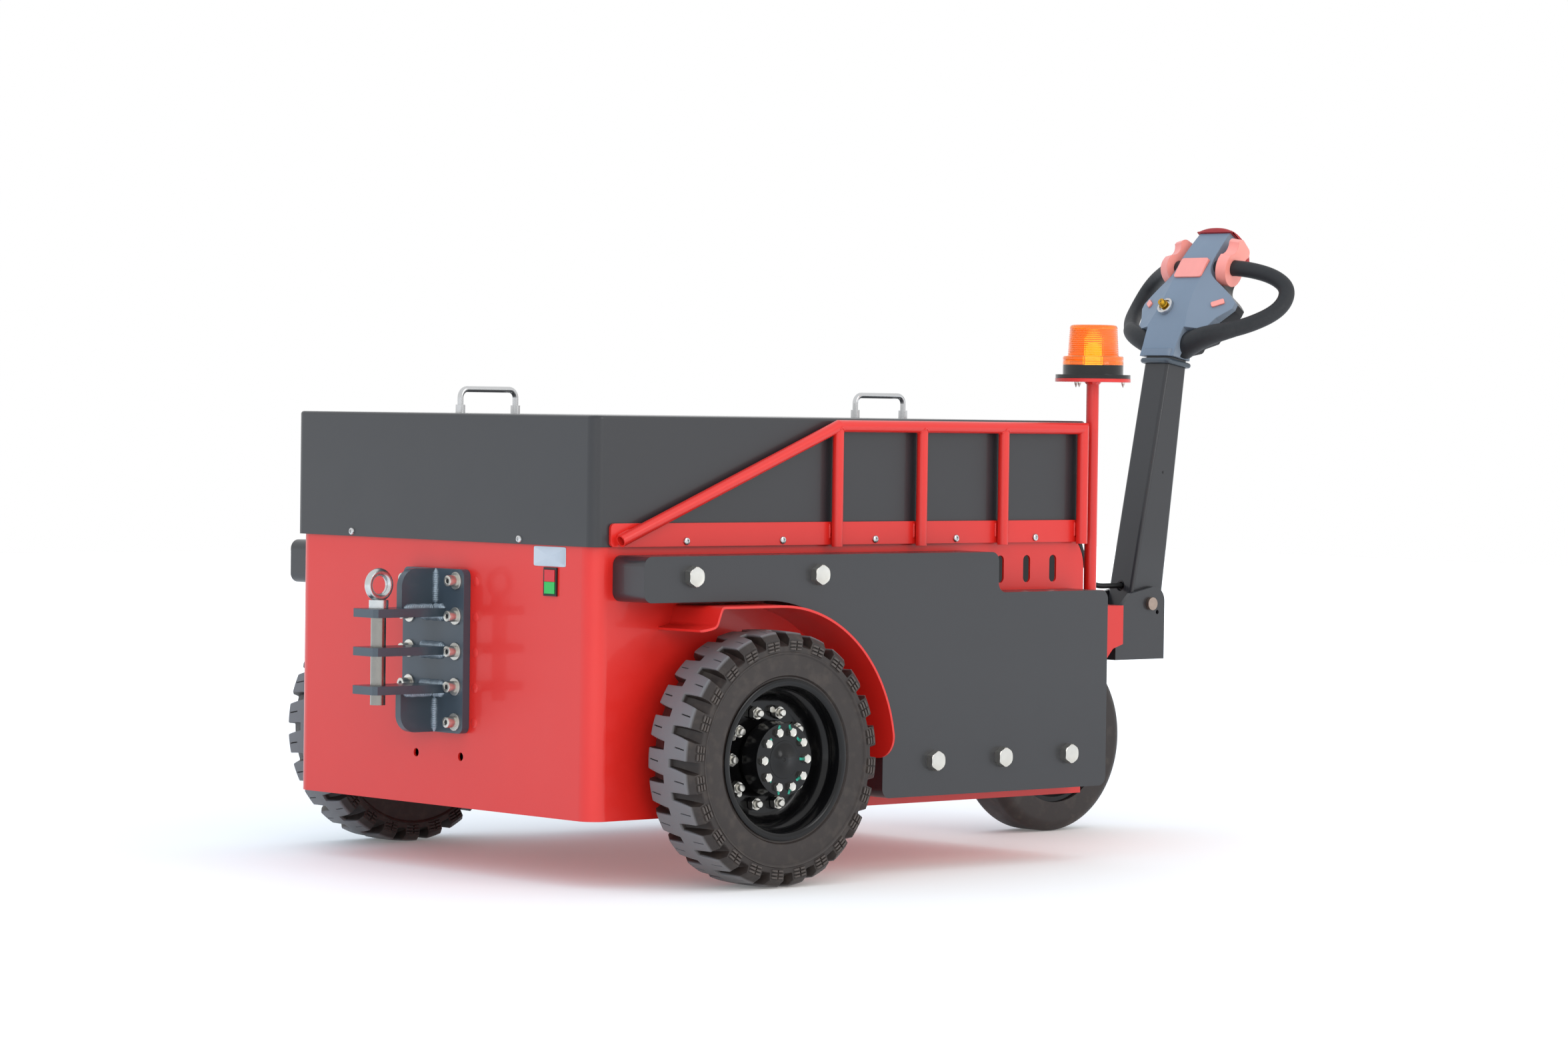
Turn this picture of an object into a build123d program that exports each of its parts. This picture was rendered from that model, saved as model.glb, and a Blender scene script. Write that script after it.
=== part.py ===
"""Walk-behind electric tow tug: ballasted body on two driven rear wheels, steered front wheel with a tiller.

Frame: +X towards the tiller, +Y left, +Z up, origin on the ground under the middle of the bounding box.
All sizes in millimetres. Places along the tug run forward from the rear face of the body, as rear + distance.
"""
import os
from math import cos, hypot, radians, sin, tan

from build123d import *

os.makedirs("parts", exist_ok=True)

# Clearances
seat_gap = 0.2        # between bolted or welded neighbours
run_gap = 0.05        # radial, at pins and bearings
cover_gap = 0.6       # between the lifted-off cover and the body walls inside it

# Rear wheels
axle_place = 286.0
tyre_radius = 207.5
tyre_width = 112.0
tyre_standoff = 35.0  # from the body side to the tyre
bead_radius = 122.0
bead_step = 4.0       # how far the bead stands inside the sidewall
bead_ring = 16.0
shoulder_chamfer = 12.0
tread_crown = 1.5
lug_count = 24
lug_rib = 13.0        # plain rib between the two rows of lugs
groove_depth = 9.0    # at the rib
groove_width = 11.0   # at the rib
groove_mouth = 20.0   # at the sidewall
groove_wrap = 25.0    # how far a groove runs down the sidewall
groove_skew = 8.0     # how far a groove leans round the tyre
rim_sheet = 6.0
rim_well_radius = 100.0
rim_disc_depth = 62.0
rim_disc = 8.0
rim_lip = 16.0
rim_dish = 10.0
rim_step = 13.0
rim_flange = 9.0
rim_out_gap = 0.4
rim_back = 26.0
stud_circle_radius = 77.0
stud_count = 10
stud_radius = 6.0
stud_length = 24.0
nut_radius = 10.5
nut_height = 12.0
hub_radius = 62.0
hub_bore_radius = 52.0
hub_flange = 12.0
hub_flange_edge = 14.0
hub_collar = 24.0
hub_taper = 3.0
hub_cap_inset = 6.0
hub_cap_wall = 8.0
cap_circle_radius = 46.0
cap_bolt_radius = 6.0
cap_bolt_head = 6.0
axle_tube_radius = 38.0
axle_tube_short = 24.0
axle_shaft_radius = 24.0
axle_shaft_short = 18.0
gearbox_radius = 110.0
gearbox_width = 150.0

# Body and cover
body_length = 1106.0
body_width = 796.0
body_bottom = 109.0
body_overlap = 24.0   # body wall hidden behind the cover's lower edge
sheet = 4.0
body_bend = 30.0
panel_corner = 70.0
cover_height = 210.0
cover_sheet = 3.4
cover_bend = 18.0
cover_fold = 5.0
floor_sheet = 6.0
front_wall_inset = 8.0
front_wall_sheet = 6.0
front_wall_height = 345.0
front_wall_ear = 30.0
slot_width = 17.0
slot_height = 47.0
slot_pitch = 63.5
slot_front = 75.5     # foremost slot, back from the body's front edge
slot_drop = 46.0      # slot middle below the seam
battery_room = 170.0  # between gearbox and battery
battery_side_room = 88.0
battery_height = 350.0
battery_corner = 10.0

# Ballast plates
plate_count = 8
plate_thickness = 10.0
plate_relief = 1.2    # depth of the line between two plates
plate_line = 1.6
ballast_rear = 40.0
ballast_front_inset = 18.0
ballast_seam_gap = 13.0
ballast_step_length = 264.0
ballast_step_drop = 68.5
ballast_arm_height = 74.0
ballast_lift = 19.0   # above the body's lower edge
ballast_corner = 16.0
arch_room = 53.5      # between tyre and ballast arch
arch_ahead = 14.0     # arch middle ahead of the axle
arch_drop = 7.5       # arch middle below the axle
ballast_bolt_flats = 30.0
ballast_bolt_head = 12.5
arm_bolt_inset = 100.0
arm_bolt_ahead = 125.0
arm_bolt_drop = 33.0
foot_bolt_front = 95.0
foot_bolt_rear = 116.0
foot_bolt_rise = 59.0

# Mudguards
guard_width = 116.0
guard_sheet = 4.0
guard_clearance = 6.0
guard_lip_back = 164.0
guard_lip_drop = 37.0
guard_crown_back = 128.0
guard_turn = 12.0
guard_bend = 9.0
guard_end_drop = 4.0
guard_corner = 42.0
guard_lip_corner = 16.0

# Guard rails
rail_tube = 20.0
rail_bar_height = 38.0
rail_bar_sheet = 5.0
rail_bar_rear = 28.0
rail_bar_corner = 8.0
rail_foot_place = 41.0
rail_post_inset = 24.0
rail_post_pitch = 191.7
rail_post_count = 4
rail_drop = 13.0      # from cover top down to the middle of the top tube
rail_wall = 2.5
rail_mouth = 60.0
rail_upright = 18.8   # outside of the uprights, a little under the bent tube
rail_foot_drop = 3.0  # how far the tubes pass the bar's lower edge
rail_sink = 1.0       # how far the tubes are welded into the bar

# Hitch
hitch_plate_width = 164.0
hitch_plate_height = 270.0
hitch_plate = 14.0
hitch_corner = 12.0
hitch_drop = 181.0    # hitch middle below the seam
hitch_bolt_column = 124.0
hitch_bolt_pitch = 58.0
hitch_bolt_radius = 9.0
hitch_bolt_head = 15.0
washer_radius = 14.4
washer_height = 3.0
tongue_length = 143.0
tongue_width = 66.0
tongue_sheet = 14.0
tongue_pitch = 63.0
tongue_chamfer = 6.0
gusset_reach = 70.0
gusset_sheet = 14.0
gusset_corner = 30.0
pin_place = 31.0      # from the tongue's outer end to the pin
pin_radius = 12.5
pin_tail = 18.0
eye_ring = 21.0
eye_bar = 6.5
eye_sink = 3.0
eye_boss_radius = 16.0
eye_boss_height = 14.0
accessory_spacing = 120.0
accessory_radius = 7.0
accessory_drop = 174.0

# Cover handles
handle_span = 116.0
handle_bar = 10.0
handle_height = 45.0
handle_bend = 14.0
handle_ferrule_radius = 8.0
handle_ferrule = 14.0
handle_rear = 96.0
handle_front = 122.0  # back from the body's front edge

# Beacon
beacon_inset = 20.0
beacon_ahead = 37.0
beacon_tube = 22.0
beacon_foot_rise = 8.0
beacon_tab = 6.0
beacon_tab_width = 32.0
beacon_tab_drop = 45.0
beacon_rise = 68.5    # seat disc above the cover
beacon_disc = 6.0
beacon_flange_radius = 66.0
beacon_flange = 6.6
beacon_base_radius = 53.0
beacon_base_height = 17.0
beacon_lens_radius = 45.0
beacon_lens_height = 55.0
beacon_lens_foot = 15.0
beacon_lens_draft = 3.0
beacon_lens_wall = 3.0
beacon_lens_crown = 7.0
beacon_lamp_radius = 16.0
beacon_lamp_height = 46.0
beacon_lamp_chamfer = 7.0

# Rear switch
switch_inset = 106.0
switch_drop = 58.5
switch_width = 33.0
switch_height = 46.0
switch_frame_wall = 3.0
switch_proud = 3.0
switch_play = 1.0
switch_depth = 14.0

# Front wheel and steering
steer_ahead = 294.0
front_radius = 172.0
front_width = 90.0
front_bead = 118.0
front_shoulder = 20.0
front_hub = 34.0
front_hub_slope = 14.0
front_web = 18.0
front_rim_inset = 6.0
front_rim_wall = 9.0
front_rim_slope = 20.0
front_pin_radius = 15.0
front_nut_edge = 9.0
front_nut_height = 14.0
fork_gap = 5.5
fork_cheek = 12.0
fork_reach = 153.0
fork_back = 78.0
fork_plate = 16.0
fork_skirt = 72.0
fork_skirt_sheet = 12.0
cheek_slope = 26.0
cheek_drop = 80.0
cheek_waist = 66.0
cheek_waist_rise = 68.0
cheek_toe = 36.0
cheek_toe_drop = 22.0
cheek_back_drop = 90.0
king_pin_radius = 42.0
king_pin_end = 6.0
king_nut_edge = 14.0
king_nut_sink = 2.0
king_nut_height = 16.0
head_tube_wall = 20.0
nose_gap = 10.0
nose_drop = 19.0      # nose top below the seam
nose_height = 104.0
nose_width = 150.0
nose_sheet = 10.0

# Tiller
yoke_sheet = 10.0
yoke_gap = 2.0
yoke_length = 116.0
yoke_back = 14.0
yoke_drop = 103.0
yoke_crown = 30.0
yoke_shoulder = 26.0
yoke_slope = 10.0
yoke_step = 4.0
yoke_hole_radius = 4.0
yoke_hole_ahead = 19.0
yoke_hole_drop = 16.0
pivot_ahead = 92.0
pivot_rise = 1.0
pivot_radius = 9.0
pivot_head_edge = 3.0
pivot_head = 7.0
pivot_boss_wall = 7.0
arm_width = 62.0
arm_foot_depth = 88.0
arm_top_depth = 52.0
arm_length = 468.0
arm_lean = 9.6
arm_foot = 38.0
arm_wall = 4.0
arm_corner = 7.0
collar_height = 14.0
collar_lip = 5.0
collar_corner = 8.0
grommet_reach = 33.0
grommet_radius = 10.0
cable_radius = 5.0
cable_root = 10.0      # how far the cable starts below the top of the king nut
cable_rise = 29.0
cable_lead = 70.0
cable_tail = 80.0
cable_bend = 24.0

# Tiller head, measured up its rear face from the foot, and inward from the face
head_lean = 34.4
head_shift = 8.0
head_crown = 18.0         # bulge of the rear face at its middle
head_crown_level = 131.0
head_crest_proud = 4.0
head_foot_sink = 1.0
head_ridge = 68.0         # flat band between the two flanks
head_flank = 22.0         # flank slope in degrees
shell_depth = 16.0
wing_shell = 9.0
neck_width = 87.0
neck_length = 38.0
neck_flare = 7.0
neck_drop = 26.0
shoulder_width = 172.0
shoulder_rise = 5.0
wing_root_width = 192.0
wing_root_level = 71.0
wing_width = 236.0
wing_level = 100.0
wing_height = 13.0
flare_width = 158.0
flare_level = 142.0
waist_width = 86.0
waist_level = 182.0
crest_width = 78.0
crest_level = 263.0
body_inset = 1.0
body_depth = 62.0
body_foot = 4.0
body_chin = 24.0
body_nape_level = 232.0
body_nape_depth = 38.0
body_wing_depth = 46.0
body_keel = 92.0
pad_thickness = 9.0
pad_width = 90.0
pad_proud = 8.0
pad_knee = 46.0
pad_end_level = 238.0
pad_end_depth = 74.5
pad_bend = 30.0
loop_tube = 30.0
loop_root = 46.0
loop_reach = 187.0
# Side, up and inward along one loop, in shares of its reach
loop_route = [(0.160, 0.086, 0.139), (0.332, 0.134, 0.086), (0.513, 0.198, 0.075), (0.765, 0.374, 0.182),
              (0.893, 0.513, 0.257), (0.973, 0.658, 0.316), (1.000, 0.802, 0.342), (0.963, 0.941, 0.326),
              (0.845, 1.021, 0.262), (0.684, 1.043, 0.176), (0.513, 1.027, 0.086), (0.332, 1.005, 0.032),
              (0.182, 1.000, 0.027)]
loop_taper = [(0.0, 1.0), (0.07, 0.97), (0.14, 0.87), (0.21, 0.76), (0.28, 0.66)]
paddle_level = 188.0
paddle_depth = 7.0
paddle_side = 56.0
paddle_sweep = 15.0
paddle_radius = 33.0
paddle_width = 22.0
paddle_wing = 46.0
paddle_tip_radius = 12.0
paddle_tip_spread = 13.0
paddle_scoop_radius = 22.0
paddle_scoop_level = 31.0
paddle_scoop_side = 42.0
button_width = 70.0
button_height = 44.0
button_level = 171.0
button_proud = 3.0
button_corner = 6.0
thumb_button_width = 26.0
thumb_button_height = 11.0
thumb_button_corner = 3.0
thumb_button_side = 88.0
thumb_button_level = 103.0
thumb_button_turn = 35.0
key_level = 81.0
key_side = 18.0
key_radius = 17.0
key_ring_height = 6.0
key_barrel_radius = 7.0
key_reach = 13.0

# Worked-out levels, from the ground up
arch_radius = tyre_radius + arch_room
arch_level = tyre_radius - arch_drop
arm_bottom = arch_level + arch_radius
ballast_top = arm_bottom + ballast_arm_height
ballast_bottom = body_bottom + ballast_lift
seam_height = ballast_top + ballast_seam_gap
body_top = seam_height + body_overlap
cover_top = seam_height + cover_height
wall_top = body_bottom + front_wall_height
slot_level = seam_height - slot_drop
hitch_level = seam_height - hitch_drop
accessory_level = hitch_level - accessory_drop
switch_level = seam_height - switch_drop
beacon_foot = wall_top + beacon_foot_rise
beacon_disc_level = cover_top + beacon_rise
nose_top = seam_height - nose_drop
nose_bottom = nose_top - nose_height
fork_top = nose_bottom - nose_gap
yoke_bottom = fork_top - yoke_drop
pivot_level = fork_top + pivot_rise

# Worked-out places along the tug
steer_place = body_length + steer_ahead
pivot_place = steer_place + fork_reach + pivot_ahead
head_dir = (sin(radians(head_lean)), cos(radians(head_lean)))
arm_dir = (sin(radians(arm_lean)), cos(radians(arm_lean)))
arm_reach = arm_length + collar_height
head_foot_place = pivot_place + arm_dir[0] * arm_reach - arm_dir[1] * arm_top_depth / 2 + head_shift
head_foot_level = pivot_level + arm_dir[1] * arm_reach + head_shift
hitch_reach = hitch_plate + tongue_length
front_reach = head_foot_place + head_dir[0] * pad_end_level + head_dir[1] * pad_end_depth
rear = (hitch_reach - front_reach) / 2
arch_place = axle_place + arch_ahead
ballast_front = body_length - ballast_front_inset
slot_last = body_length - slot_front
beacon_place = body_length + beacon_ahead
rear_axle = (rear + axle_place, tyre_radius)
front_wall_face = rear + body_length - front_wall_inset
fork_x = rear + steer_place
fork_front = fork_x + fork_reach
pivot = (rear + pivot_place, pivot_level)

# Worked-out places across the tug
half_width = body_width / 2
cover_half = half_width + cover_gap + cover_sheet
tyre_middle = half_width + tyre_standoff + tyre_width / 2
ballast_side = half_width + seat_gap
ballast_thickness = plate_count * plate_thickness
beacon_side = half_width - beacon_inset
switch_side = switch_inset - half_width

# Body shell: sheet bent round the two rear corners, open below, above and in front
with BuildPart() as body_shell:
    with BuildSketch(Plane.XY.offset(body_bottom)):
        with Locations((rear + body_length / 2, 0)):
            outer = Rectangle(body_length, body_width)
        fillet(outer.vertices().group_by(Axis.X)[0], body_bend)
    extrude(amount=body_top - body_bottom)
    with BuildSketch(Plane.XY.offset(body_bottom)):
        with Locations((rear + body_length / 2 + sheet, 0)):
            inner = Rectangle(body_length, body_width - 2 * sheet)
        fillet(inner.vertices().group_by(Axis.X)[0], body_bend - sheet)
    extrude(amount=body_top - body_bottom, mode=Mode.SUBTRACT)
    front_tips = body_shell.edges().filter_by(Axis.Y).group_by(Axis.X)[-1].group_by(Axis.Z)[-1]
    fillet(front_tips, panel_corner)
    with BuildSketch(Plane.XZ):
        with Locations(*[(rear + slot_last - i * slot_pitch, slot_level) for i in range(3)]):
            SlotOverall(slot_height, slot_width, rotation=90)
        with Locations(rear_axle):
            Circle(axle_tube_radius + seat_gap)
    extrude(amount=body_width, both=True, mode=Mode.SUBTRACT)
    with BuildSketch(Plane.YZ.offset(rear)):
        with Locations((-accessory_spacing / 2, accessory_level), (accessory_spacing / 2, accessory_level)):
            Circle(accessory_radius)
        with Locations((switch_side, switch_level)):
            Rectangle(switch_width - 2 * switch_frame_wall, switch_height - 2 * switch_frame_wall)
    extrude(amount=2 * sheet, both=True, mode=Mode.SUBTRACT)

# Floor pan welded inside the body's lower edge
with BuildPart() as floor_pan:
    pan_rear = rear + sheet + seat_gap
    pan_length = front_wall_face - front_wall_sheet - seat_gap - pan_rear
    with BuildSketch(Plane.XY.offset(body_bottom)):
        with Locations((pan_rear + pan_length / 2, 0)):
            pan = Rectangle(pan_length, body_width - 2 * (sheet + seat_gap))
        fillet(pan.vertices().group_by(Axis.X)[0], body_bend - sheet)
    extrude(amount=floor_sheet)

# Front wall with the raised middle that carries the steering nose
with BuildPart() as front_wall:
    with BuildSketch(Plane.YZ.offset(front_wall_face - front_wall_sheet)):
        with Locations((0, (body_bottom + wall_top) / 2)):
            Rectangle(body_width - 2 * (sheet + seat_gap), front_wall_height)
        with Locations((0, (wall_top + nose_top) / 2)):
            Rectangle(nose_width + 2 * front_wall_ear, nose_top - wall_top)
    extrude(amount=front_wall_sheet)

# Steering nose: folded channel from the front wall to the head tube
with BuildPart() as nose_frame:
    nose_rear = front_wall_face + seat_gap
    with BuildSketch(Plane.XY.offset(nose_bottom)):
        with Locations(((nose_rear + fork_x) / 2, 0)):
            Rectangle(fork_x - nose_rear, nose_width)
    extrude(amount=nose_height)
    with BuildSketch(Plane.XY.offset(nose_bottom)):
        channel_length = fork_x - nose_rear - nose_sheet
        with Locations((fork_x - channel_length / 2, 0)):
            Rectangle(channel_length, nose_width - 2 * nose_sheet)
    extrude(amount=nose_height - nose_sheet, mode=Mode.SUBTRACT)
    with BuildSketch(Plane.XY.offset(nose_bottom)):
        with Locations((fork_x, 0)):
            Circle(king_pin_radius + head_tube_wall)
    extrude(amount=nose_height)
    with BuildSketch(Plane.XY.offset(nose_bottom)):
        with Locations((fork_x, 0)):
            Circle(king_pin_radius + run_gap)
    extrude(amount=nose_height, mode=Mode.SUBTRACT)

# Battery pack: one plain block on the floor between the axle and the front wall
with BuildPart() as battery_pack:
    battery_length = body_length - axle_place - gearbox_radius - battery_room
    with BuildSketch(Plane.XY.offset(body_bottom + floor_sheet + seat_gap)):
        with Locations((front_wall_face - front_wall_sheet - seat_gap - battery_length / 2, 0)):
            RectangleRounded(battery_length, body_width - 2 * battery_side_room, battery_corner)
    extrude(amount=battery_height)

# Drive axle: motor and gearbox in the middle of a tube that passes the body sides, with a shaft to each hub
wheel_out = -(tyre_middle + tyre_width / 2)
disc_face = wheel_out + rim_disc_depth
with BuildPart() as drive_axle:
    with BuildSketch(Plane.XZ):
        with Locations(rear_axle):
            Circle(axle_tube_radius)
    extrude(amount=-disc_face - axle_tube_short, both=True)
    with BuildSketch(Plane.XZ):
        with Locations(rear_axle):
            Circle(axle_shaft_radius)
    extrude(amount=-wheel_out - axle_shaft_short, both=True)
    with BuildSketch(Plane.XZ):
        with Locations(rear_axle):
            Circle(min(gearbox_radius, tyre_radius - body_bottom - floor_sheet - seat_gap))
    extrude(amount=gearbox_width / 2, both=True)

# Cover: deep pressed lid over the body, open below
with BuildPart() as cover:
    cover_length = body_length + 2 * (cover_gap + cover_sheet)
    with BuildSketch(Plane.XY.offset(seam_height)):
        with Locations((rear + body_length / 2, 0)):
            RectangleRounded(cover_length, 2 * cover_half, cover_bend)
    extrude(amount=cover_height)
    fillet(cover.faces().sort_by(Axis.Z)[-1].edges(), cover_fold)
    offset(amount=-cover_sheet, openings=cover.faces().sort_by(Axis.Z)[0])

# Bail handles on the cover
handle_parts = []
for place in (handle_rear, body_length - handle_front):
    with BuildPart() as handle:
        foot = cover_top + seat_gap
        bail = foot + handle_height - handle_bar / 2
        feet = (rear + place - handle_span / 2, rear + place + handle_span / 2)
        with BuildLine(Plane.XZ) as handle_path:
            FilletPolyline((feet[0], foot), (feet[0], bail), (feet[1], bail), (feet[1], foot),
                           radius=handle_bend)
        with BuildSketch(Plane.XY.offset(foot)):
            with Locations((feet[0], 0)):
                Circle(handle_bar / 2)
        sweep(path=handle_path.wires()[0])
        with BuildSketch(Plane.XY.offset(foot)):
            with Locations((feet[0], 0), (feet[1], 0)):
                Circle(handle_ferrule_radius)
        extrude(amount=handle_ferrule)
    handle_parts.append(handle.part)

# Guard rail, right side: flat bar screwed to the cover, bent tube and uprights welded on its outside
with BuildPart() as guard_rail_right:
    rail_front = rear + body_length - rail_post_inset
    posts = [rail_front - i * rail_post_pitch for i in range(rail_post_count)]
    bar_front = rail_front + rail_tube / 2
    tube_side = cover_half + seat_gap + rail_bar_sheet + rail_tube / 2 - rail_sink
    top_line = cover_top - rail_drop
    rail_foot = seam_height - rail_foot_drop
    with BuildSketch(Plane.XZ.offset(cover_half + seat_gap)):
        with Locations(((rear + rail_bar_rear + bar_front) / 2, seam_height + rail_bar_height / 2)):
            RectangleRounded(bar_front - rear - rail_bar_rear, rail_bar_height, rail_bar_corner)
    extrude(amount=rail_bar_sheet)
    with BuildLine(Plane.XZ.offset(tube_side)) as rail_path:
        Polyline((rear + rail_foot_place, seam_height + rail_tube / 2), (posts[-1], top_line),
                 (rail_front, top_line), (rail_front, rail_foot))
    rail_mouth_plane = Plane(rail_path.wires()[0] @ 0, z_dir=rail_path.wires()[0] % 0)
    with BuildSketch(rail_mouth_plane):
        Circle(rail_tube / 2)
    sweep(path=rail_path.wires()[0], transition=Transition.RIGHT)
    with BuildSketch(rail_mouth_plane):
        Circle(rail_tube / 2 - rail_wall)
    extrude(amount=rail_mouth, mode=Mode.SUBTRACT)
    with BuildSketch(Plane.XY.offset(rail_foot)):
        with Locations(*[(post, -tube_side) for post in posts[1:]]):
            Circle(rail_upright / 2)
    extrude(amount=top_line - rail_foot)

# Ballast, right side: stacked plates with the wheel arch and the step, bolted through to the body
with BuildPart() as ballast_right:
    arch_top = (rear + arch_place, arm_bottom)
    arch_end = (rear + arch_place + arch_radius, arch_level)
    step_place = rear + ballast_front - ballast_step_length
    step_level = ballast_top - ballast_step_drop
    with BuildSketch(Plane.XZ.offset(ballast_side)) as plate:
        with BuildLine():
            Polyline(arch_end, (arch_end[0], ballast_bottom), (rear + ballast_front, ballast_bottom),
                     (rear + ballast_front, step_level), (step_place, step_level), (step_place, ballast_top),
                     (rear + ballast_rear, ballast_top), (rear + ballast_rear, arm_bottom), arch_top)
            RadiusArc(arch_top, arch_end, arch_radius)
        profile = make_face()
        corners = [v for v in profile.vertices()
                   if all(hypot(v.X - p[0], v.Y - p[1]) > 1 for p in (arch_top, arch_end))]
        fillet(corners, ballast_corner)
    for i in range(plate_count):
        plate_place = Location((0, -i * plate_thickness, 0))
        extrude(plate.sketch.moved(plate_place), amount=plate_thickness - plate_line)
    with BuildSketch(Plane.XZ.offset(ballast_side)):
        add(plate.sketch_local)
        offset(amount=-plate_relief, mode=Mode.REPLACE)
    extrude(amount=ballast_thickness - plate_line)
    foot_rear = arch_end[0] + foot_bolt_rear
    foot_pitch = (rear + ballast_front - foot_bolt_front - foot_rear) / 2
    bolt_places = [(rear + ballast_rear + arm_bolt_inset, ballast_top - arm_bolt_drop),
                   (rear + axle_place + arm_bolt_ahead, ballast_top - arm_bolt_drop)]
    bolt_places += [(foot_rear + i * foot_pitch, ballast_bottom + foot_bolt_rise) for i in range(3)]
    with BuildSketch(Plane.XZ.offset(ballast_side + ballast_thickness - plate_line)):
        with Locations(*bolt_places):
            RegularPolygon(ballast_bolt_flats / 2, 6, major_radius=False, rotation=30)
    extrude(amount=ballast_bolt_head)

# Mudguard, right side: rolled strip under the ballast arch with a turned-down rear lip
with BuildPart() as mudguard_right:
    guard_radius = arch_radius - guard_clearance
    guard_x = rear + arch_place
    crown = arch_level + guard_radius
    with BuildSketch(Plane.XZ.offset(ballast_side)):
        with BuildLine():
            FilletPolyline((guard_x - guard_lip_back, crown - guard_lip_drop),
                           (guard_x - guard_crown_back - guard_turn, crown - guard_lip_drop + guard_turn / 2),
                           (guard_x - guard_crown_back, crown), (guard_x, crown), radius=guard_bend)
            RadiusArc((guard_x, crown), (guard_x + guard_radius, arch_level), guard_radius)
            Line((guard_x + guard_radius, arch_level), (guard_x + guard_radius, arch_level - guard_end_drop))
            offset(amount=-guard_sheet, side=Side.RIGHT)
        make_face()
    extrude(amount=guard_width)
    guard_out = -(ballast_side + guard_width)
    guard_end = arch_level - guard_end_drop
    with BuildSketch(Plane.YZ.offset(guard_x + guard_radius)):
        with Locations((guard_out + guard_corner / 2, guard_end + guard_corner / 2)):
            Rectangle(guard_corner, guard_corner)
        with Locations((guard_out + guard_corner, guard_end + guard_corner)):
            Circle(guard_corner, mode=Mode.SUBTRACT)
    extrude(amount=-5 * guard_sheet, mode=Mode.SUBTRACT)
    lip_end = guard_x - guard_lip_back
    with BuildSketch(Plane.XY.offset(crown - guard_lip_drop)):
        with Locations((lip_end + guard_lip_corner / 2, guard_out + guard_lip_corner / 2)):
            Rectangle(guard_lip_corner, guard_lip_corner)
        with Locations((lip_end + guard_lip_corner, guard_out + guard_lip_corner)):
            Circle(guard_lip_corner, mode=Mode.SUBTRACT)
    extrude(amount=5 * guard_sheet, both=True, mode=Mode.SUBTRACT)

# Hitch: base plate, three tongues, end gussets and socket-head bolts
with BuildPart() as hitch_bracket:
    plate_back = rear - seat_gap
    plate_face = plate_back - hitch_plate
    tongue_end = rear - hitch_reach
    with BuildSketch(Plane.YZ.offset(plate_face)):
        with Locations((0, hitch_level)):
            RectangleRounded(hitch_plate_width, hitch_plate_height, hitch_corner)
    extrude(amount=hitch_plate)
    for step in (-1, 0, 1):
        with BuildSketch(Plane.XY.offset(hitch_level + step * tongue_pitch - tongue_sheet / 2)):
            with Locations(((tongue_end + plate_face) / 2, 0)):
                tongue = Rectangle(plate_face - tongue_end, tongue_width)
            chamfer(tongue.vertices().group_by(Axis.X)[0], tongue_chamfer)
            with Locations((tongue_end + pin_place, 0)):
                Circle(pin_radius + run_gap, mode=Mode.SUBTRACT)
        extrude(amount=tongue_sheet)
    gusset_height = hitch_plate_height / 2 - tongue_pitch - tongue_sheet / 2
    for side in (-1, 1):
        with BuildSketch(Plane.XZ.offset(-gusset_sheet / 2)):
            low = hitch_level + side * (tongue_pitch + tongue_sheet / 2)
            with Locations((plate_face - gusset_reach / 2, low + side * gusset_height / 2)):
                web = Rectangle(gusset_reach, gusset_height)
            fillet(web.vertices().group_by(Axis.X)[0].sort_by(Axis.Y)[-1 if side > 0 else 0], gusset_corner)
        extrude(amount=gusset_sheet)
    bolt_rows = [(y, hitch_level + row * hitch_bolt_pitch)
                 for y in (-hitch_bolt_column / 2, hitch_bolt_column / 2) for row in range(-2, 3)]
    with BuildSketch(Plane.YZ.offset(plate_face)):
        with Locations(*bolt_rows):
            Circle(washer_radius)
    extrude(amount=-washer_height)
    with BuildSketch(Plane.YZ.offset(plate_face - washer_height)):
        with Locations(*bolt_rows):
            Circle(hitch_bolt_radius)
    extrude(amount=-hitch_bolt_head)

# Hitch pin: plain shank with a lifting eye
with BuildPart() as hitch_pin:
    pin_x = tongue_end + pin_place
    shank_top = hitch_level + tongue_pitch + tongue_sheet / 2 + seat_gap
    shank_bottom = hitch_level - tongue_pitch - tongue_sheet / 2 - pin_tail
    eye_level = shank_top + eye_boss_height + eye_ring + eye_bar - eye_sink
    with BuildSketch(Plane.XY.offset(shank_bottom)):
        with Locations((pin_x, 0)):
            Circle(pin_radius)
    extrude(amount=shank_top - shank_bottom)
    with BuildSketch(Plane.XY.offset(shank_top)):
        with Locations((pin_x, 0)):
            Circle(eye_boss_radius)
    extrude(amount=eye_boss_height)
    with BuildSketch(Plane.YZ.offset(pin_x)):
        with Locations((0, eye_level + eye_ring)):
            Circle(eye_bar)
    revolve(axis=Axis((pin_x, 0, eye_level), (0, 1, 0)))

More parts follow.
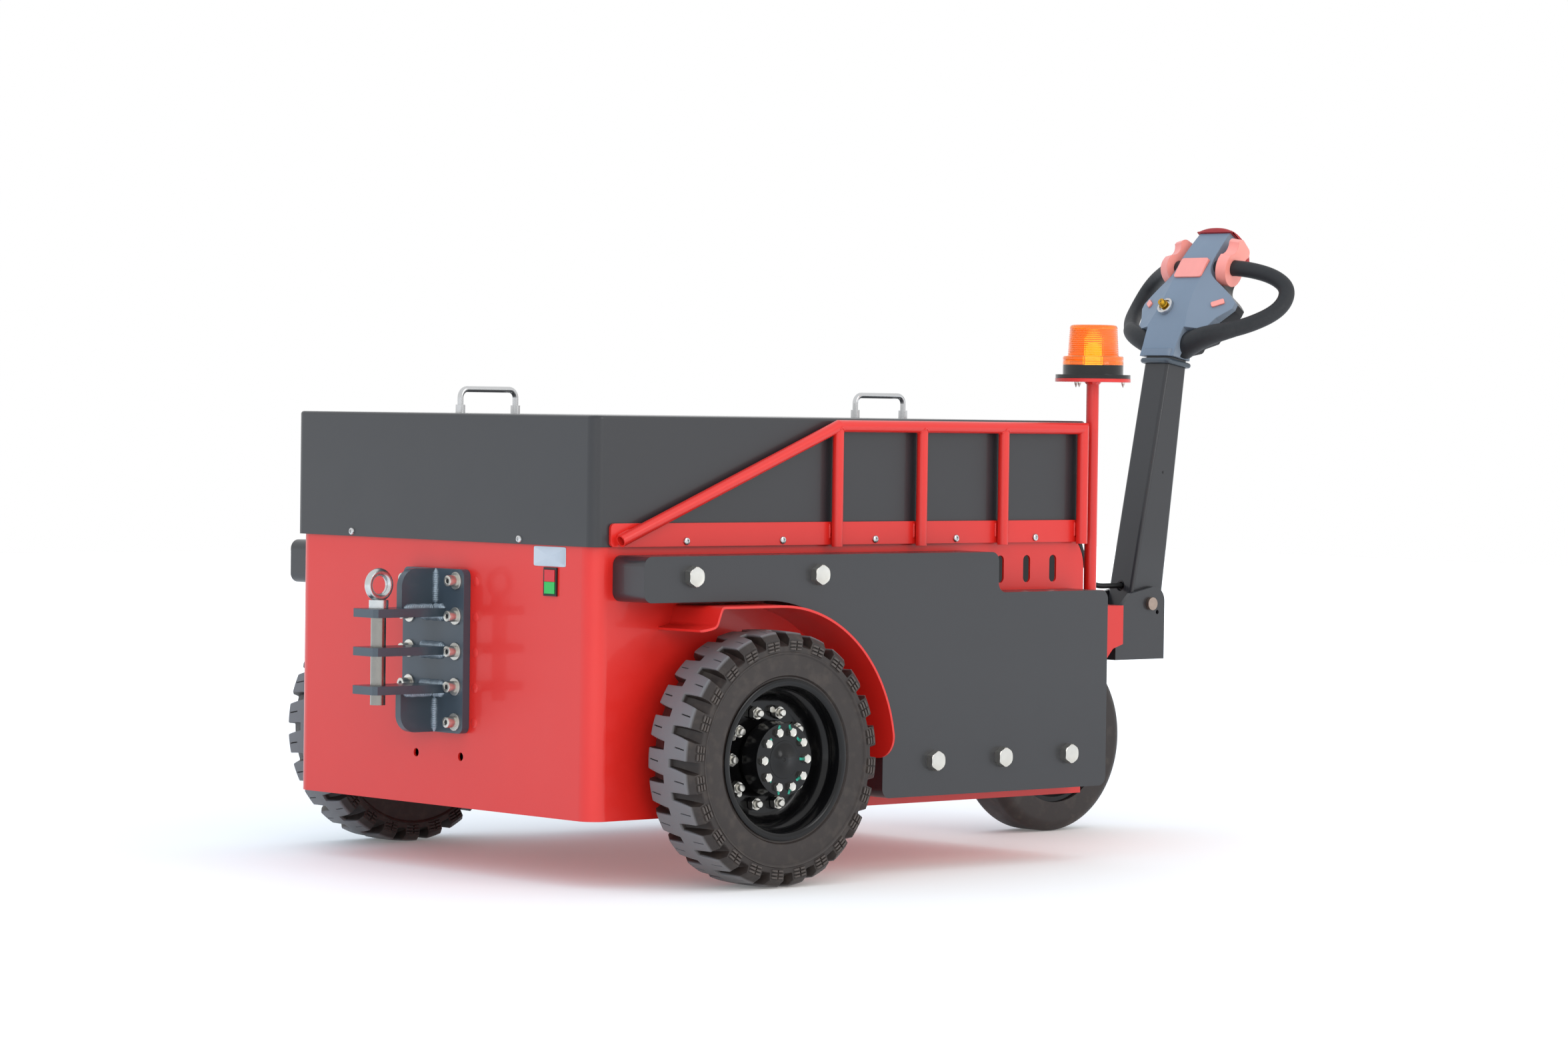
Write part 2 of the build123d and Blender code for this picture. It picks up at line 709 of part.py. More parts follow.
# Beacon post on a tab at the front right corner, with its seat disc
beacon_x = rear + beacon_place
with BuildPart() as beacon_post:
    with BuildSketch(Plane.XY.offset(beacon_foot)):
        with Locations((beacon_x, -beacon_side)):
            Circle(beacon_tube / 2)
    extrude(amount=beacon_disc_level - beacon_foot)
    with BuildSketch(Plane.XY.offset(beacon_disc_level)):
        with Locations((beacon_x, -beacon_side)):
            Circle(beacon_flange_radius)
    extrude(amount=beacon_disc)
    tab_rear = front_wall_face + seat_gap
    tab_length = beacon_x + beacon_tube - tab_rear
    with BuildSketch(Plane.XY.offset(beacon_foot - beacon_tab)):
        with Locations((tab_rear + tab_length / 2, -beacon_side)):
            RectangleRounded(tab_length, beacon_tab_width, beacon_tab)
    extrude(amount=beacon_tab)
    with BuildSketch(Plane.YZ.offset(tab_rear)):
        with Locations((-beacon_side, beacon_foot - beacon_tab_drop / 2)):
            Rectangle(beacon_tab_width, beacon_tab_drop)
    extrude(amount=beacon_tab)

# Beacon base, lens and lamp
beacon_seat = beacon_disc_level + beacon_disc + seat_gap
lens_foot = beacon_seat + beacon_flange + beacon_base_height + seat_gap
with BuildPart() as beacon_base:
    with BuildSketch(Plane.XY.offset(beacon_seat)):
        with Locations((beacon_x, -beacon_side)):
            Circle(beacon_flange_radius - seat_gap)
    extrude(amount=beacon_flange)
    with BuildSketch(Plane.XY.offset(beacon_seat + beacon_flange)):
        with Locations((beacon_x, -beacon_side)):
            Circle(beacon_base_radius)
    extrude(amount=beacon_base_height)
with BuildPart() as beacon_lens:
    lens_step = lens_foot + beacon_lens_foot
    lens_top = lens_step + beacon_lens_height
    lens_crown = beacon_lens_radius - beacon_lens_draft
    lens_in = beacon_lens_radius - beacon_lens_wall
    with BuildSketch(Plane.XZ.offset(beacon_side)):
        with BuildLine():
            Polyline((beacon_x, lens_top - beacon_lens_wall),
                     (beacon_x + lens_crown - beacon_lens_crown, lens_top - beacon_lens_wall),
                     (beacon_x + lens_crown - beacon_lens_wall, lens_top - beacon_lens_crown),
                     (beacon_x + lens_in, lens_foot), (beacon_x + beacon_base_radius, lens_foot),
                     (beacon_x + beacon_base_radius, lens_step), (beacon_x + beacon_lens_radius, lens_step),
                     (beacon_x + lens_crown, lens_top - beacon_lens_crown / 2),
                     (beacon_x + lens_crown - beacon_lens_crown / 2, lens_top), (beacon_x, lens_top),
                     close=True)
        make_face()
    revolve(axis=Axis((beacon_x, -beacon_side, 0), (0, 0, 1)))
with BuildPart() as beacon_lamp:
    with BuildSketch(Plane.XY.offset(lens_foot)):
        with Locations((beacon_x, -beacon_side)):
            Circle(beacon_lamp_radius)
    extrude(amount=beacon_lamp_height)
    chamfer(beacon_lamp.faces().sort_by(Axis.Z)[-1].edges(), beacon_lamp_chamfer)

# Rocker switch on the rear face: frame, red half and green half
rocker_room = (switch_width - 2 * switch_frame_wall - switch_play,
               switch_height - 2 * switch_frame_wall - switch_play)
with BuildPart() as switch_frame:
    frame_face = rear - seat_gap
    with BuildSketch(Plane.YZ.offset(frame_face)):
        with Locations((switch_side, switch_level)):
            Rectangle(switch_width, switch_height)
            Rectangle(rocker_room[0], rocker_room[1], mode=Mode.SUBTRACT)
    extrude(amount=-switch_proud)
    with BuildSketch(Plane.YZ.offset(frame_face)):
        with Locations((switch_side, switch_level)):
            Rectangle(switch_width - 2 * (switch_frame_wall + seat_gap),
                      switch_height - 2 * (switch_frame_wall + seat_gap))
    extrude(amount=sheet + switch_depth)
rocker_parts = []
for side in (1, -1):
    with BuildPart() as rocker:
        rocker_height = rocker_room[1] / 2 - 2 * seat_gap
        with BuildSketch(Plane.YZ.offset(frame_face - seat_gap)):
            with Locations((switch_side, switch_level + side * (rocker_height / 2 + seat_gap))):
                Rectangle(rocker_room[0] - 2 * seat_gap, rocker_height)
        extrude(amount=-switch_proud - switch_play)
    rocker_parts.append(rocker.part)

# Groove cutter for the rear tread: narrow at the middle rib, wide and deep at the sidewall
axle_x, axle_z = rear_axle
wheel_axis = Axis((axle_x, 0, axle_z), (0, 1, 0))
with BuildPart() as tread_groove:
    for place, lean, width, depth in ((lug_rib / 2, 0, groove_width, groove_depth),
                                      (tyre_width / 2 + tread_crown, groove_skew, groove_mouth, groove_wrap)):
        with BuildSketch(Plane.XZ.offset(tyre_middle + place)):
            with Locations((axle_x + lean, axle_z + tyre_radius + tread_crown - (depth + tread_crown) / 2)):
                Rectangle(width, depth + tread_crown)
    loft()
groove_turn = 360 / lug_count
outer_grooves = [tread_groove.part.rotate(wheel_axis, i * groove_turn) for i in range(lug_count)]
inner_groove = mirror(tread_groove.part, about=Plane.XZ.offset(tyre_middle))
inner_grooves = [inner_groove.rotate(wheel_axis, (i + 0.5) * groove_turn) for i in range(lug_count)]

# Rear wheel, right side: solid tyre with two rows of lugs
with BuildPart() as rear_tyre_right:
    with BuildSketch(Plane.YZ.offset(axle_x)):
        with BuildLine():
            edge = tyre_width / 2
            tread_z = axle_z + tyre_radius
            bead_z = axle_z + bead_radius
            Polyline((-tyre_middle - edge + shoulder_chamfer, tread_z - tread_crown),
                     (-tyre_middle - edge, tread_z - shoulder_chamfer),
                     (-tyre_middle - edge, bead_z + bead_ring),
                     (-tyre_middle - edge + bead_step, bead_z + bead_ring - bead_step),
                     (-tyre_middle - edge + bead_step, bead_z), (-tyre_middle + edge - bead_step, bead_z),
                     (-tyre_middle + edge - bead_step, bead_z + bead_ring - bead_step),
                     (-tyre_middle + edge, bead_z + bead_ring),
                     (-tyre_middle + edge, tread_z - shoulder_chamfer),
                     (-tyre_middle + edge - shoulder_chamfer, tread_z - tread_crown))
            ThreePointArc((-tyre_middle - edge + shoulder_chamfer, tread_z - tread_crown),
                          (-tyre_middle, tread_z),
                          (-tyre_middle + edge - shoulder_chamfer, tread_z - tread_crown))
        make_face()
    revolve(axis=wheel_axis)
    add(outer_grooves + inner_grooves, mode=Mode.SUBTRACT)

# Rear wheel rim: dished steel with studs and nuts
with BuildPart() as rear_rim_right:
    disc_back = disc_face + rim_disc
    with BuildSketch(Plane.YZ.offset(axle_x)):
        with BuildLine():
            rim_seat = axle_z + bead_radius - seat_gap
            well = axle_z + rim_well_radius
            bore = axle_z + hub_bore_radius
            rim_out = wheel_out + bead_step
            rim_in = wheel_out + tyre_width - bead_step
            lip_face = wheel_out + rim_out_gap
            lip_back = rim_out - seat_gap
            rim_inside = rim_seat - rim_sheet
            Polyline((lip_face, rim_seat + rim_flange), (lip_back, rim_seat + rim_flange),
                     (lip_back, rim_seat), (rim_in, rim_seat), (rim_in, rim_inside),
                     (disc_face + rim_back, well), (disc_back, well), (disc_back, bore), (disc_face, bore),
                     (disc_face, well - rim_disc), (disc_face - rim_dish / 2, well - rim_disc / 3),
                     (disc_face - rim_dish, well), (disc_face - 2 * rim_dish, well + rim_disc / 3),
                     (wheel_out + 2 * rim_lip, rim_seat - rim_step), (wheel_out + 1.5 * rim_lip, rim_inside),
                     (wheel_out + rim_lip, rim_inside), (lip_face + rim_sheet / 3, rim_seat - rim_sheet / 2),
                     (lip_face, rim_seat), close=True)
        make_face()
    revolve(axis=wheel_axis)
    with BuildSketch(Plane.XZ.offset(-disc_face)):
        with Locations(rear_axle):
            with PolarLocations(stud_circle_radius, stud_count, start_angle=180 / stud_count):
                RegularPolygon(nut_radius, 6)
    extrude(amount=nut_height)
    with BuildSketch(Plane.XZ.offset(-disc_face)):
        with Locations(rear_axle):
            with PolarLocations(stud_circle_radius, stud_count, start_angle=180 / stud_count):
                Circle(stud_radius)
    extrude(amount=stud_length)

# Rear hub: flanged barrel on the axle shaft with a bolted cap
with BuildPart() as rear_hub_right:
    flange_face = disc_back + seat_gap
    flange_top = axle_z + stud_circle_radius + hub_flange_edge
    hub_nose = wheel_out + hub_cap_inset
    collar_back = disc_face - hub_collar
    with BuildSketch(Plane.YZ.offset(axle_x)):
        with BuildLine():
            shaft = axle_z + axle_shaft_radius + run_gap
            Polyline((flange_face + hub_flange, shaft), (flange_face + hub_flange, flange_top),
                     (flange_face, flange_top), (flange_face, bore - seat_gap), (collar_back, bore - seat_gap),
                     (collar_back, axle_z + hub_radius), (hub_nose, axle_z + hub_radius - hub_taper),
                     (hub_nose, axle_z), (hub_nose + hub_cap_wall, axle_z), (hub_nose + hub_cap_wall, shaft),
                     close=True)
        make_face()
    revolve(axis=wheel_axis)
    with BuildSketch(Plane.XZ.offset(-hub_nose)):
        with Locations(rear_axle):
            with PolarLocations(cap_circle_radius, stud_count):
                Circle(cap_bolt_radius)
    extrude(amount=cap_bolt_head)

# Front wheel: smooth solid tyre on a pressed disc
front_axis = Axis((fork_x, 0, front_radius), (0, 1, 0))
with BuildPart() as front_tyre:
    with BuildSketch(Plane.YZ.offset(fork_x)):
        with Locations((0, front_radius + (front_bead + front_radius) / 2)):
            tread = Rectangle(front_width, front_radius - front_bead)
        fillet(tread.vertices().group_by(Axis.Y)[-1], front_shoulder)
    revolve(axis=front_axis)
with BuildPart() as front_disc:
    with BuildSketch(Plane.YZ.offset(fork_x)):
        with BuildLine():
            hub_end = front_width / 2
            rim_end = front_width / 2 - front_rim_inset
            web = front_web / 2
            pin_wall = front_radius + front_pin_radius + run_gap
            hub_top = front_radius + front_hub
            rim_top = front_radius + front_bead - seat_gap
            rim_low = rim_top - front_rim_wall
            rim_root = rim_top - front_rim_slope
            Polyline((-hub_end, pin_wall), (hub_end, pin_wall), (hub_end, hub_top), (web, hub_top + front_hub_slope),
                     (web, rim_root), (rim_end, rim_low), (rim_end, rim_top), (-rim_end, rim_top),
                     (-rim_end, rim_low), (-web, rim_root), (-web, hub_top + front_hub_slope), (-hub_end, hub_top),
                     close=True)
        make_face()
    revolve(axis=front_axis)

# Steering fork: king pin, crown plate, front plate and two cheeks down to the wheel pin
cheek_in = front_width / 2 + fork_gap
cheek_out = cheek_in + fork_cheek
with BuildPart() as steer_fork:
    skirt = fork_top - fork_skirt
    chin = (fork_front - cheek_slope, fork_top - cheek_drop)
    toe = (fork_x + cheek_toe, front_radius - cheek_toe_drop)
    heel = (fork_x - cheek_toe, front_radius - cheek_toe_drop)
    with BuildSketch(Plane.XZ):
        with BuildLine():
            Polyline((fork_x - fork_back, fork_top), (fork_front, fork_top), (fork_front, skirt), chin)
            Spline(chin, (fork_x + cheek_waist, front_radius + cheek_waist_rise), toe,
                   tangents=((-0.7, -0.7), (-0.3, -1)))
            RadiusArc(toe, heel, hypot(cheek_toe, cheek_toe_drop))
            Polyline(heel, (fork_x - fork_back, fork_top - cheek_back_drop), (fork_x - fork_back, fork_top))
        make_face()
    extrude(amount=cheek_out, both=True)
    with BuildSketch(Plane.XZ):
        with Locations((fork_x, fork_top / 2 - fork_plate)):
            Rectangle(4 * fork_reach, fork_top)
    extrude(amount=cheek_in, both=True, mode=Mode.SUBTRACT)
    with BuildSketch(Plane.XY.offset(skirt)):
        with Locations((fork_front - fork_skirt_sheet / 2, 0)):
            Rectangle(fork_skirt_sheet, 2 * cheek_out)
    extrude(amount=fork_skirt)
    with BuildSketch(Plane.XZ):
        with Locations((fork_x, front_radius)):
            Circle(front_pin_radius + run_gap)
    extrude(amount=2 * cheek_out, both=True, mode=Mode.SUBTRACT)
    with BuildSketch(Plane.XY.offset(fork_top)):
        with Locations((fork_x, 0)):
            Circle(king_pin_radius)
    extrude(amount=nose_gap + nose_height + king_pin_end)
    with BuildSketch(Plane.XY.offset(nose_top + king_pin_end - king_nut_sink)):
        with Locations((fork_x, 0)):
            RegularPolygon(king_pin_radius + king_nut_edge, 6)
    extrude(amount=king_nut_height)
    with BuildSketch(Plane.XY.offset(fork_top - fork_plate)):
        with Locations((fork_x, 0)):
            Circle(cable_radius + seat_gap)
    extrude(amount=fork_plate + nose_gap + nose_height + king_pin_end + king_nut_height, mode=Mode.SUBTRACT)

# Front wheel pin with its nuts
with BuildPart() as front_axle:
    with BuildSketch(Plane.XZ):
        with Locations((fork_x, front_radius)):
            Circle(front_pin_radius)
    extrude(amount=cheek_out + seat_gap, both=True)
    for side in (-1, 1):
        with BuildSketch(Plane.XZ.offset(side * (cheek_out + seat_gap))):
            with Locations((fork_x, front_radius)):
                RegularPolygon(front_pin_radius + front_nut_edge, 6)
        extrude(amount=side * front_nut_height)

# Tiller yoke: back plate, base plate and two ears either side of the arm
ear_in = arm_width / 2 + yoke_gap
ear_out = ear_in + yoke_sheet
yoke_rear = fork_front + seat_gap
yoke_face = yoke_rear + yoke_back
yoke_front = yoke_face + yoke_length
with BuildPart() as tiller_yoke:
    ear_top = pivot[1] + yoke_crown
    with BuildSketch(Plane.XZ):
        with BuildLine():
            Polyline((yoke_rear, yoke_bottom), (yoke_front, yoke_bottom), (yoke_front, pivot[1] + yoke_step))
            TangentArc((yoke_front, pivot[1] + yoke_step), (pivot[0], ear_top), tangent=(0, 1))
            Polyline((pivot[0], ear_top), (yoke_face + yoke_shoulder, ear_top - yoke_slope),
                     (yoke_face, fork_top - yoke_step), (yoke_rear, fork_top - yoke_step), (yoke_rear, yoke_bottom))
        make_face()
    extrude(amount=ear_out, both=True)
    with BuildSketch(Plane.XZ):
        with Locations((yoke_face + yoke_length, yoke_bottom + yoke_sheet + yoke_drop)):
            Rectangle(2 * yoke_length, 2 * yoke_drop)
    extrude(amount=ear_in, both=True, mode=Mode.SUBTRACT)
    with BuildSketch(Plane.XZ):
        with Locations(pivot):
            Circle(pivot_radius + run_gap)
        with Locations((pivot[0] + yoke_hole_ahead, pivot[1] - yoke_hole_drop)):
            Circle(yoke_hole_radius)
    extrude(amount=2 * ear_out, both=True, mode=Mode.SUBTRACT)

# Pivot bolt through ears and arm
with BuildPart() as pivot_bolt:
    with BuildSketch(Plane.XZ):
        with Locations(pivot):
            Circle(pivot_radius)
    extrude(amount=ear_out + seat_gap, both=True)
    for side in (-1, 1):
        with BuildSketch(Plane.XZ.offset(side * (ear_out + seat_gap))):
            with Locations(pivot):
                Circle(pivot_radius + pivot_head_edge)
        extrude(amount=side * pivot_head)

# Tiller arm: tapered box tube, open at the foot
arm_base = Plane((pivot[0], 0, pivot[1]), x_dir=(arm_dir[1], 0, -arm_dir[0]), z_dir=(arm_dir[0], 0, arm_dir[1]))
with BuildPart() as tiller_arm:
    for place, depth in ((-arm_foot, arm_foot_depth), (arm_length, arm_top_depth)):
        with BuildSketch(arm_base.offset(place)):
            RectangleRounded(depth, arm_width, arm_corner)
    loft()
    for place, depth in ((-arm_foot, arm_foot_depth), (arm_length - arm_wall, arm_top_depth)):
        with BuildSketch(arm_base.offset(place)):
            RectangleRounded(depth - 2 * arm_wall, arm_width - 2 * arm_wall, arm_corner - arm_wall)
    loft(mode=Mode.SUBTRACT)
    with BuildSketch(Plane.XZ):
        with Locations(pivot):
            Circle(pivot_radius + pivot_boss_wall)
    extrude(amount=arm_width / 2, both=True)
    with BuildSketch(Plane.XZ):
        with Locations(pivot):
            Circle(pivot_radius + run_gap)
    extrude(amount=arm_width, both=True, mode=Mode.SUBTRACT)
    with BuildSketch(Plane.YZ.offset(pivot[0])):
        with Locations((0, pivot[1] + grommet_reach)):
            Circle(grommet_radius)
    extrude(amount=-arm_foot_depth, mode=Mode.SUBTRACT)

# Tiller head: crowned upper shell with swept-back wings, joined to the arm by a collar
head_origin = (rear + head_foot_place, 0, head_foot_level)
head_in = Vector(head_dir[1], 0, -head_dir[0])
head_up = Vector(head_dir[0], 0, head_dir[1])
head_base = Plane(head_origin, x_dir=(0, 1, 0), z_dir=head_in)
head_side = Plane(head_origin, x_dir=head_up, z_dir=(0, -1, 0))
head_cross = Plane(head_origin, x_dir=(0, 1, 0), z_dir=head_up).offset(-neck_drop)
head_height = crest_level + neck_drop
ridge = head_ridge / 2
wing_fall = tan(radians(head_flank)) * (wing_width / 2 - ridge) - head_crown
with BuildSketch(head_base) as head_outline:
    with BuildLine():
        Polyline((0, -neck_drop), (neck_width / 2, -neck_drop), (neck_width / 2, 0),
                 (neck_width / 2 + neck_flare / 2, neck_length), (shoulder_width / 2, neck_length + shoulder_rise),
                 (wing_root_width / 2, wing_root_level), (wing_width / 2, wing_level),
                 (wing_width / 2, wing_level + wing_height))
        Spline((wing_width / 2, wing_level + wing_height), (flare_width / 2, flare_level),
               (waist_width / 2, waist_level), tangents=((-1, 0.9), (-0.1, 1)))
        Polyline((waist_width / 2, waist_level), (crest_width / 2, crest_level), (0, crest_level), (0, -neck_drop))
    make_face()
    mirror(about=Plane.YZ)
with BuildPart() as tiller_head:
    with BuildSketch(head_base.offset(-head_crown)):
        add(head_outline.sketch_local)
    extrude(amount=head_crown + body_depth)
    with BuildSketch(head_side):
        with BuildLine():
            ThreePointArc((-neck_drop, -head_foot_sink), (head_crown_level, head_crown),
                          (crest_level, head_crest_proud))
            Polyline((crest_level, head_crest_proud), (crest_level, -body_depth), (-neck_drop, -body_depth),
                     (-neck_drop, -head_foot_sink))
        make_face()
    extrude(amount=wing_width, both=True, mode=Mode.INTERSECT)
    with BuildSketch(head_cross):
        with BuildLine():
            Polyline((0, head_crown), (ridge, head_crown), (wing_width / 2, -wing_fall),
                     (wing_width / 2, -wing_fall - wing_shell), (neck_width / 2, -shell_depth), (0, -shell_depth),
                     close=True)
        make_face()
        mirror(about=Plane.YZ)
    extrude(amount=head_height, mode=Mode.INTERSECT)
    split(bisect_by=arm_base.offset(arm_length + seat_gap), keep=Keep.TOP)
    with BuildSketch(arm_base.offset(arm_length + seat_gap)):
        RectangleRounded(arm_top_depth + 2 * collar_lip, arm_width + 2 * collar_lip, collar_corner)
    extrude(amount=collar_height)

# Lower housing of the head: fills the upper shell and carries the grip loops
with BuildPart() as head_body:
    with BuildSketch(head_base):
        add(head_outline.sketch_local)
    extrude(amount=body_depth)
    with BuildSketch(head_side):
        with BuildLine():
            Polyline((body_foot, 0), (body_foot, body_chin - body_depth), (body_foot + body_chin, -body_depth),
                     (body_nape_level, -body_depth), (crest_level - body_inset, -body_nape_depth),
                     (crest_level - body_inset, 0), close=True)
        chin = make_face()
        fillet(chin.vertices().sort_by(Axis.Y)[:2].sort_by(Axis.X)[:1], body_chin / 2)
    extrude(amount=wing_width, both=True, mode=Mode.INTERSECT)
    with BuildSketch(head_cross):
        with BuildLine():
            Polyline((0, -shell_depth - seat_gap), (neck_width / 2, -shell_depth - seat_gap),
                     (wing_width / 2, -wing_fall - wing_shell - seat_gap), (wing_width / 2, -body_wing_depth),
                     (body_keel / 2, -body_depth), (0, -body_depth), close=True)
        make_face()
        mirror(about=Plane.YZ)
    extrude(amount=head_height, mode=Mode.INTERSECT)
    with BuildSketch(arm_base.offset(arm_length - collar_height)):
        RectangleRounded(arm_top_depth + 2 * (collar_lip + seat_gap), arm_width + 2 * (collar_lip + seat_gap),
                         collar_corner)
    extrude(amount=2 * (collar_height + seat_gap), mode=Mode.SUBTRACT)

# Belly pad: curved guard button over the crest of the head
with BuildPart() as belly_pad:
    with BuildSketch(head_side):
        with BuildLine():
            under = crest_level + seat_gap
            nape = (body_nape_level + seat_gap, -body_depth - 2 * seat_gap)
            FilletPolyline((under + pad_thickness, pad_proud), (under + pad_thickness, -pad_knee),
                           (pad_end_level, -pad_end_depth), radius=pad_bend)
            Polyline((pad_end_level, -pad_end_depth), nape, (under, -body_nape_depth - 2 * seat_gap),
                     (under, pad_proud), (under + pad_thickness, pad_proud))
        make_face()
    extrude(amount=pad_width / 2, both=True)

# Grip loops: bent bars from the lower housing out and back to the sides of the head, each with a thumb paddle
loop_parts = []
paddle_parts = []
for side in (1, -1):
    with BuildPart() as loop:
        with BuildLine() as loop_path:
            Spline(*[head_base.from_local_coords(Vector(side * y, s, n) * loop_reach) for y, s, n in loop_route])
        path = loop_path.wires()[0]
        with BuildSketch(Plane(path @ 0, z_dir=path % 0)):
            Circle(loop_tube / 2)
        sweep(path=path)
        for place, share in loop_taper:
            with BuildSketch(Plane(path @ place, z_dir=path % place)):
                Circle(loop_root / 2 * share)
        loft()
        add(tiller_head.part, mode=Mode.SUBTRACT)
        add(head_body.part, mode=Mode.SUBTRACT)
    loop_parts.append(loop.part.solids().sort_by(SortBy.VOLUME)[-1])
    out_dir = head_in * sin(radians(paddle_sweep)) + Vector(0, side * cos(radians(paddle_sweep)), 0)
    paddle_in = head_base.from_local_coords(Vector(side * paddle_side, paddle_level, paddle_depth))
    with BuildPart() as paddle:
        with BuildSketch(Plane(paddle_in, x_dir=head_up, z_dir=out_dir)):
            Circle(paddle_radius)
            with Locations((paddle_wing, -paddle_tip_spread), (paddle_wing, paddle_tip_spread)):
                Circle(paddle_tip_radius)
            make_hull()
            with Locations((paddle_scoop_level, -paddle_scoop_side), (paddle_scoop_level, paddle_scoop_side)):
                Circle(paddle_scoop_radius, mode=Mode.SUBTRACT)
        extrude(amount=paddle_width)
        for neighbour in (loop, belly_pad, tiller_head, head_body):
            add(neighbour.part, mode=Mode.SUBTRACT)
    paddle_parts.append(paddle.part)

# Buttons and key switch on the rear face of the head
proud_head = tiller_head.part.moved(Location(head_in * -seat_gap))
with BuildPart() as drive_button:
    with BuildSketch(head_base.offset(-head_crown - button_proud)):
        with Locations((0, button_level)):
            RectangleRounded(button_width, button_height, button_corner)
    extrude(amount=head_crown)
    add(proud_head, mode=Mode.SUBTRACT)
thumb_parts = []
thumb_depth = tan(radians(head_flank)) * (thumb_button_side - ridge) - head_crown
for side in (1, -1):
    flank_out = head_in * -cos(radians(head_flank)) + Vector(0, side * sin(radians(head_flank)), 0)
    flank_run = head_in * sin(radians(head_flank)) + Vector(0, side * cos(radians(head_flank)), 0)
    thumb_in = head_base.from_local_coords(Vector(side * thumb_button_side, thumb_button_level, thumb_depth))
    with BuildPart() as thumb:
        with BuildSketch(Plane(thumb_in, x_dir=flank_run, z_dir=flank_out).offset(seat_gap)):
            RectangleRounded(thumb_button_width, thumb_button_height, thumb_button_corner,
                             rotation=-side * thumb_button_turn)
        extrude(amount=button_proud)
    thumb_parts.append(thumb.part)
with BuildPart() as key_switch:
    with BuildSketch(head_base.offset(-head_crown - key_ring_height)):
        with Locations((key_side, key_level)):
            Circle(key_radius)
    extrude(amount=head_crown)
    add(proud_head, mode=Mode.SUBTRACT)
    with BuildSketch(head_base.offset(-head_crown - key_ring_height)):
        with Locations((key_side, key_level)):
            Circle(key_barrel_radius)
    extrude(amount=-key_reach)

# Control cable from the hollow king pin to the grommet hole in the arm
with BuildPart() as control_cable:
    arm_taper = (arm_foot_depth - arm_top_depth) / (arm_length + arm_foot)
    grommet_depth = (arm_foot_depth - arm_taper * (grommet_reach + arm_foot)) / 2
    grommet_x = pivot[0] + arm_dir[0] * grommet_reach - grommet_depth
    grommet_z = pivot[1] + grommet_reach
    nut_top = nose_top + king_pin_end - king_nut_sink + king_nut_height
    cable_top = nut_top + cable_rise
    with BuildLine(Plane.XZ) as cable_path:
        FilletPolyline((fork_x, nut_top - cable_root), (fork_x, cable_top), (fork_x + cable_lead, cable_top),
                       (grommet_x - cable_tail, grommet_z), (grommet_x + grommet_radius, grommet_z),
                       radius=cable_bend)
    with BuildSketch(Plane(cable_path.wires()[0] @ 0, z_dir=cable_path.wires()[0] % 0)):
        Circle(cable_radius)
    sweep(path=cable_path.wires()[0])

# The left-hand pieces mirror the right-hand ones
right_hand = {"guard_rail": guard_rail_right, "ballast": ballast_right, "mudguard": mudguard_right,
              "rear_tyre": rear_tyre_right, "rear_rim": rear_rim_right, "rear_hub": rear_hub_right}

pieces = {"body_shell": body_shell.part, "floor_pan": floor_pan.part, "front_wall": front_wall.part,
          "nose_frame": nose_frame.part, "battery_pack": battery_pack.part, "drive_axle": drive_axle.part,
          "cover": cover.part, "cover_handle_rear": handle_parts[0], "cover_handle_front": handle_parts[1],
          "hitch_bracket": hitch_bracket.part, "hitch_pin": hitch_pin.part, "beacon_post": beacon_post.part,
          "beacon_base": beacon_base.part, "beacon_lens": beacon_lens.part, "beacon_lamp": beacon_lamp.part,
          "switch_frame": switch_frame.part, "switch_red": rocker_parts[0], "switch_green": rocker_parts[1],
          "front_tyre": front_tyre.part, "front_disc": front_disc.part, "steer_fork": steer_fork.part,
          "front_axle": front_axle.part, "tiller_yoke": tiller_yoke.part, "pivot_bolt": pivot_bolt.part,
          "tiller_arm": tiller_arm.part, "tiller_head": tiller_head.part, "head_body": head_body.part,
          "belly_pad": belly_pad.part,
          "grip_loop_left": loop_parts[0], "grip_loop_right": loop_parts[1], "paddle_left": paddle_parts[0],
          "paddle_right": paddle_parts[1], "drive_button": drive_button.part, "thumb_button_left": thumb_parts[0],
          "thumb_button_right": thumb_parts[1], "key_switch": key_switch.part, "control_cable": control_cable.part}
for name, piece in right_hand.items():
    pieces[name + "_right"] = piece.part
    pieces[name + "_left"] = mirror(piece.part, about=Plane.XZ)

for name, piece in pieces.items():
    piece.label = name
    export_step(piece, "parts/" + name + ".step")
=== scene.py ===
"""Looks of the walk-behind tow tug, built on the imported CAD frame.

Every piece is made in metres in the frame of the CAD model and rides on one of its bodies. Sizes inside the
classes are millimetres, as on the drawing, and turn into metres where points are made.
"""
from __future__ import annotations

import logging
import math
from dataclasses import dataclass, field, replace
from enum import Enum

import bmesh
import bpy
import numpy as np
from mathutils import Matrix, Vector

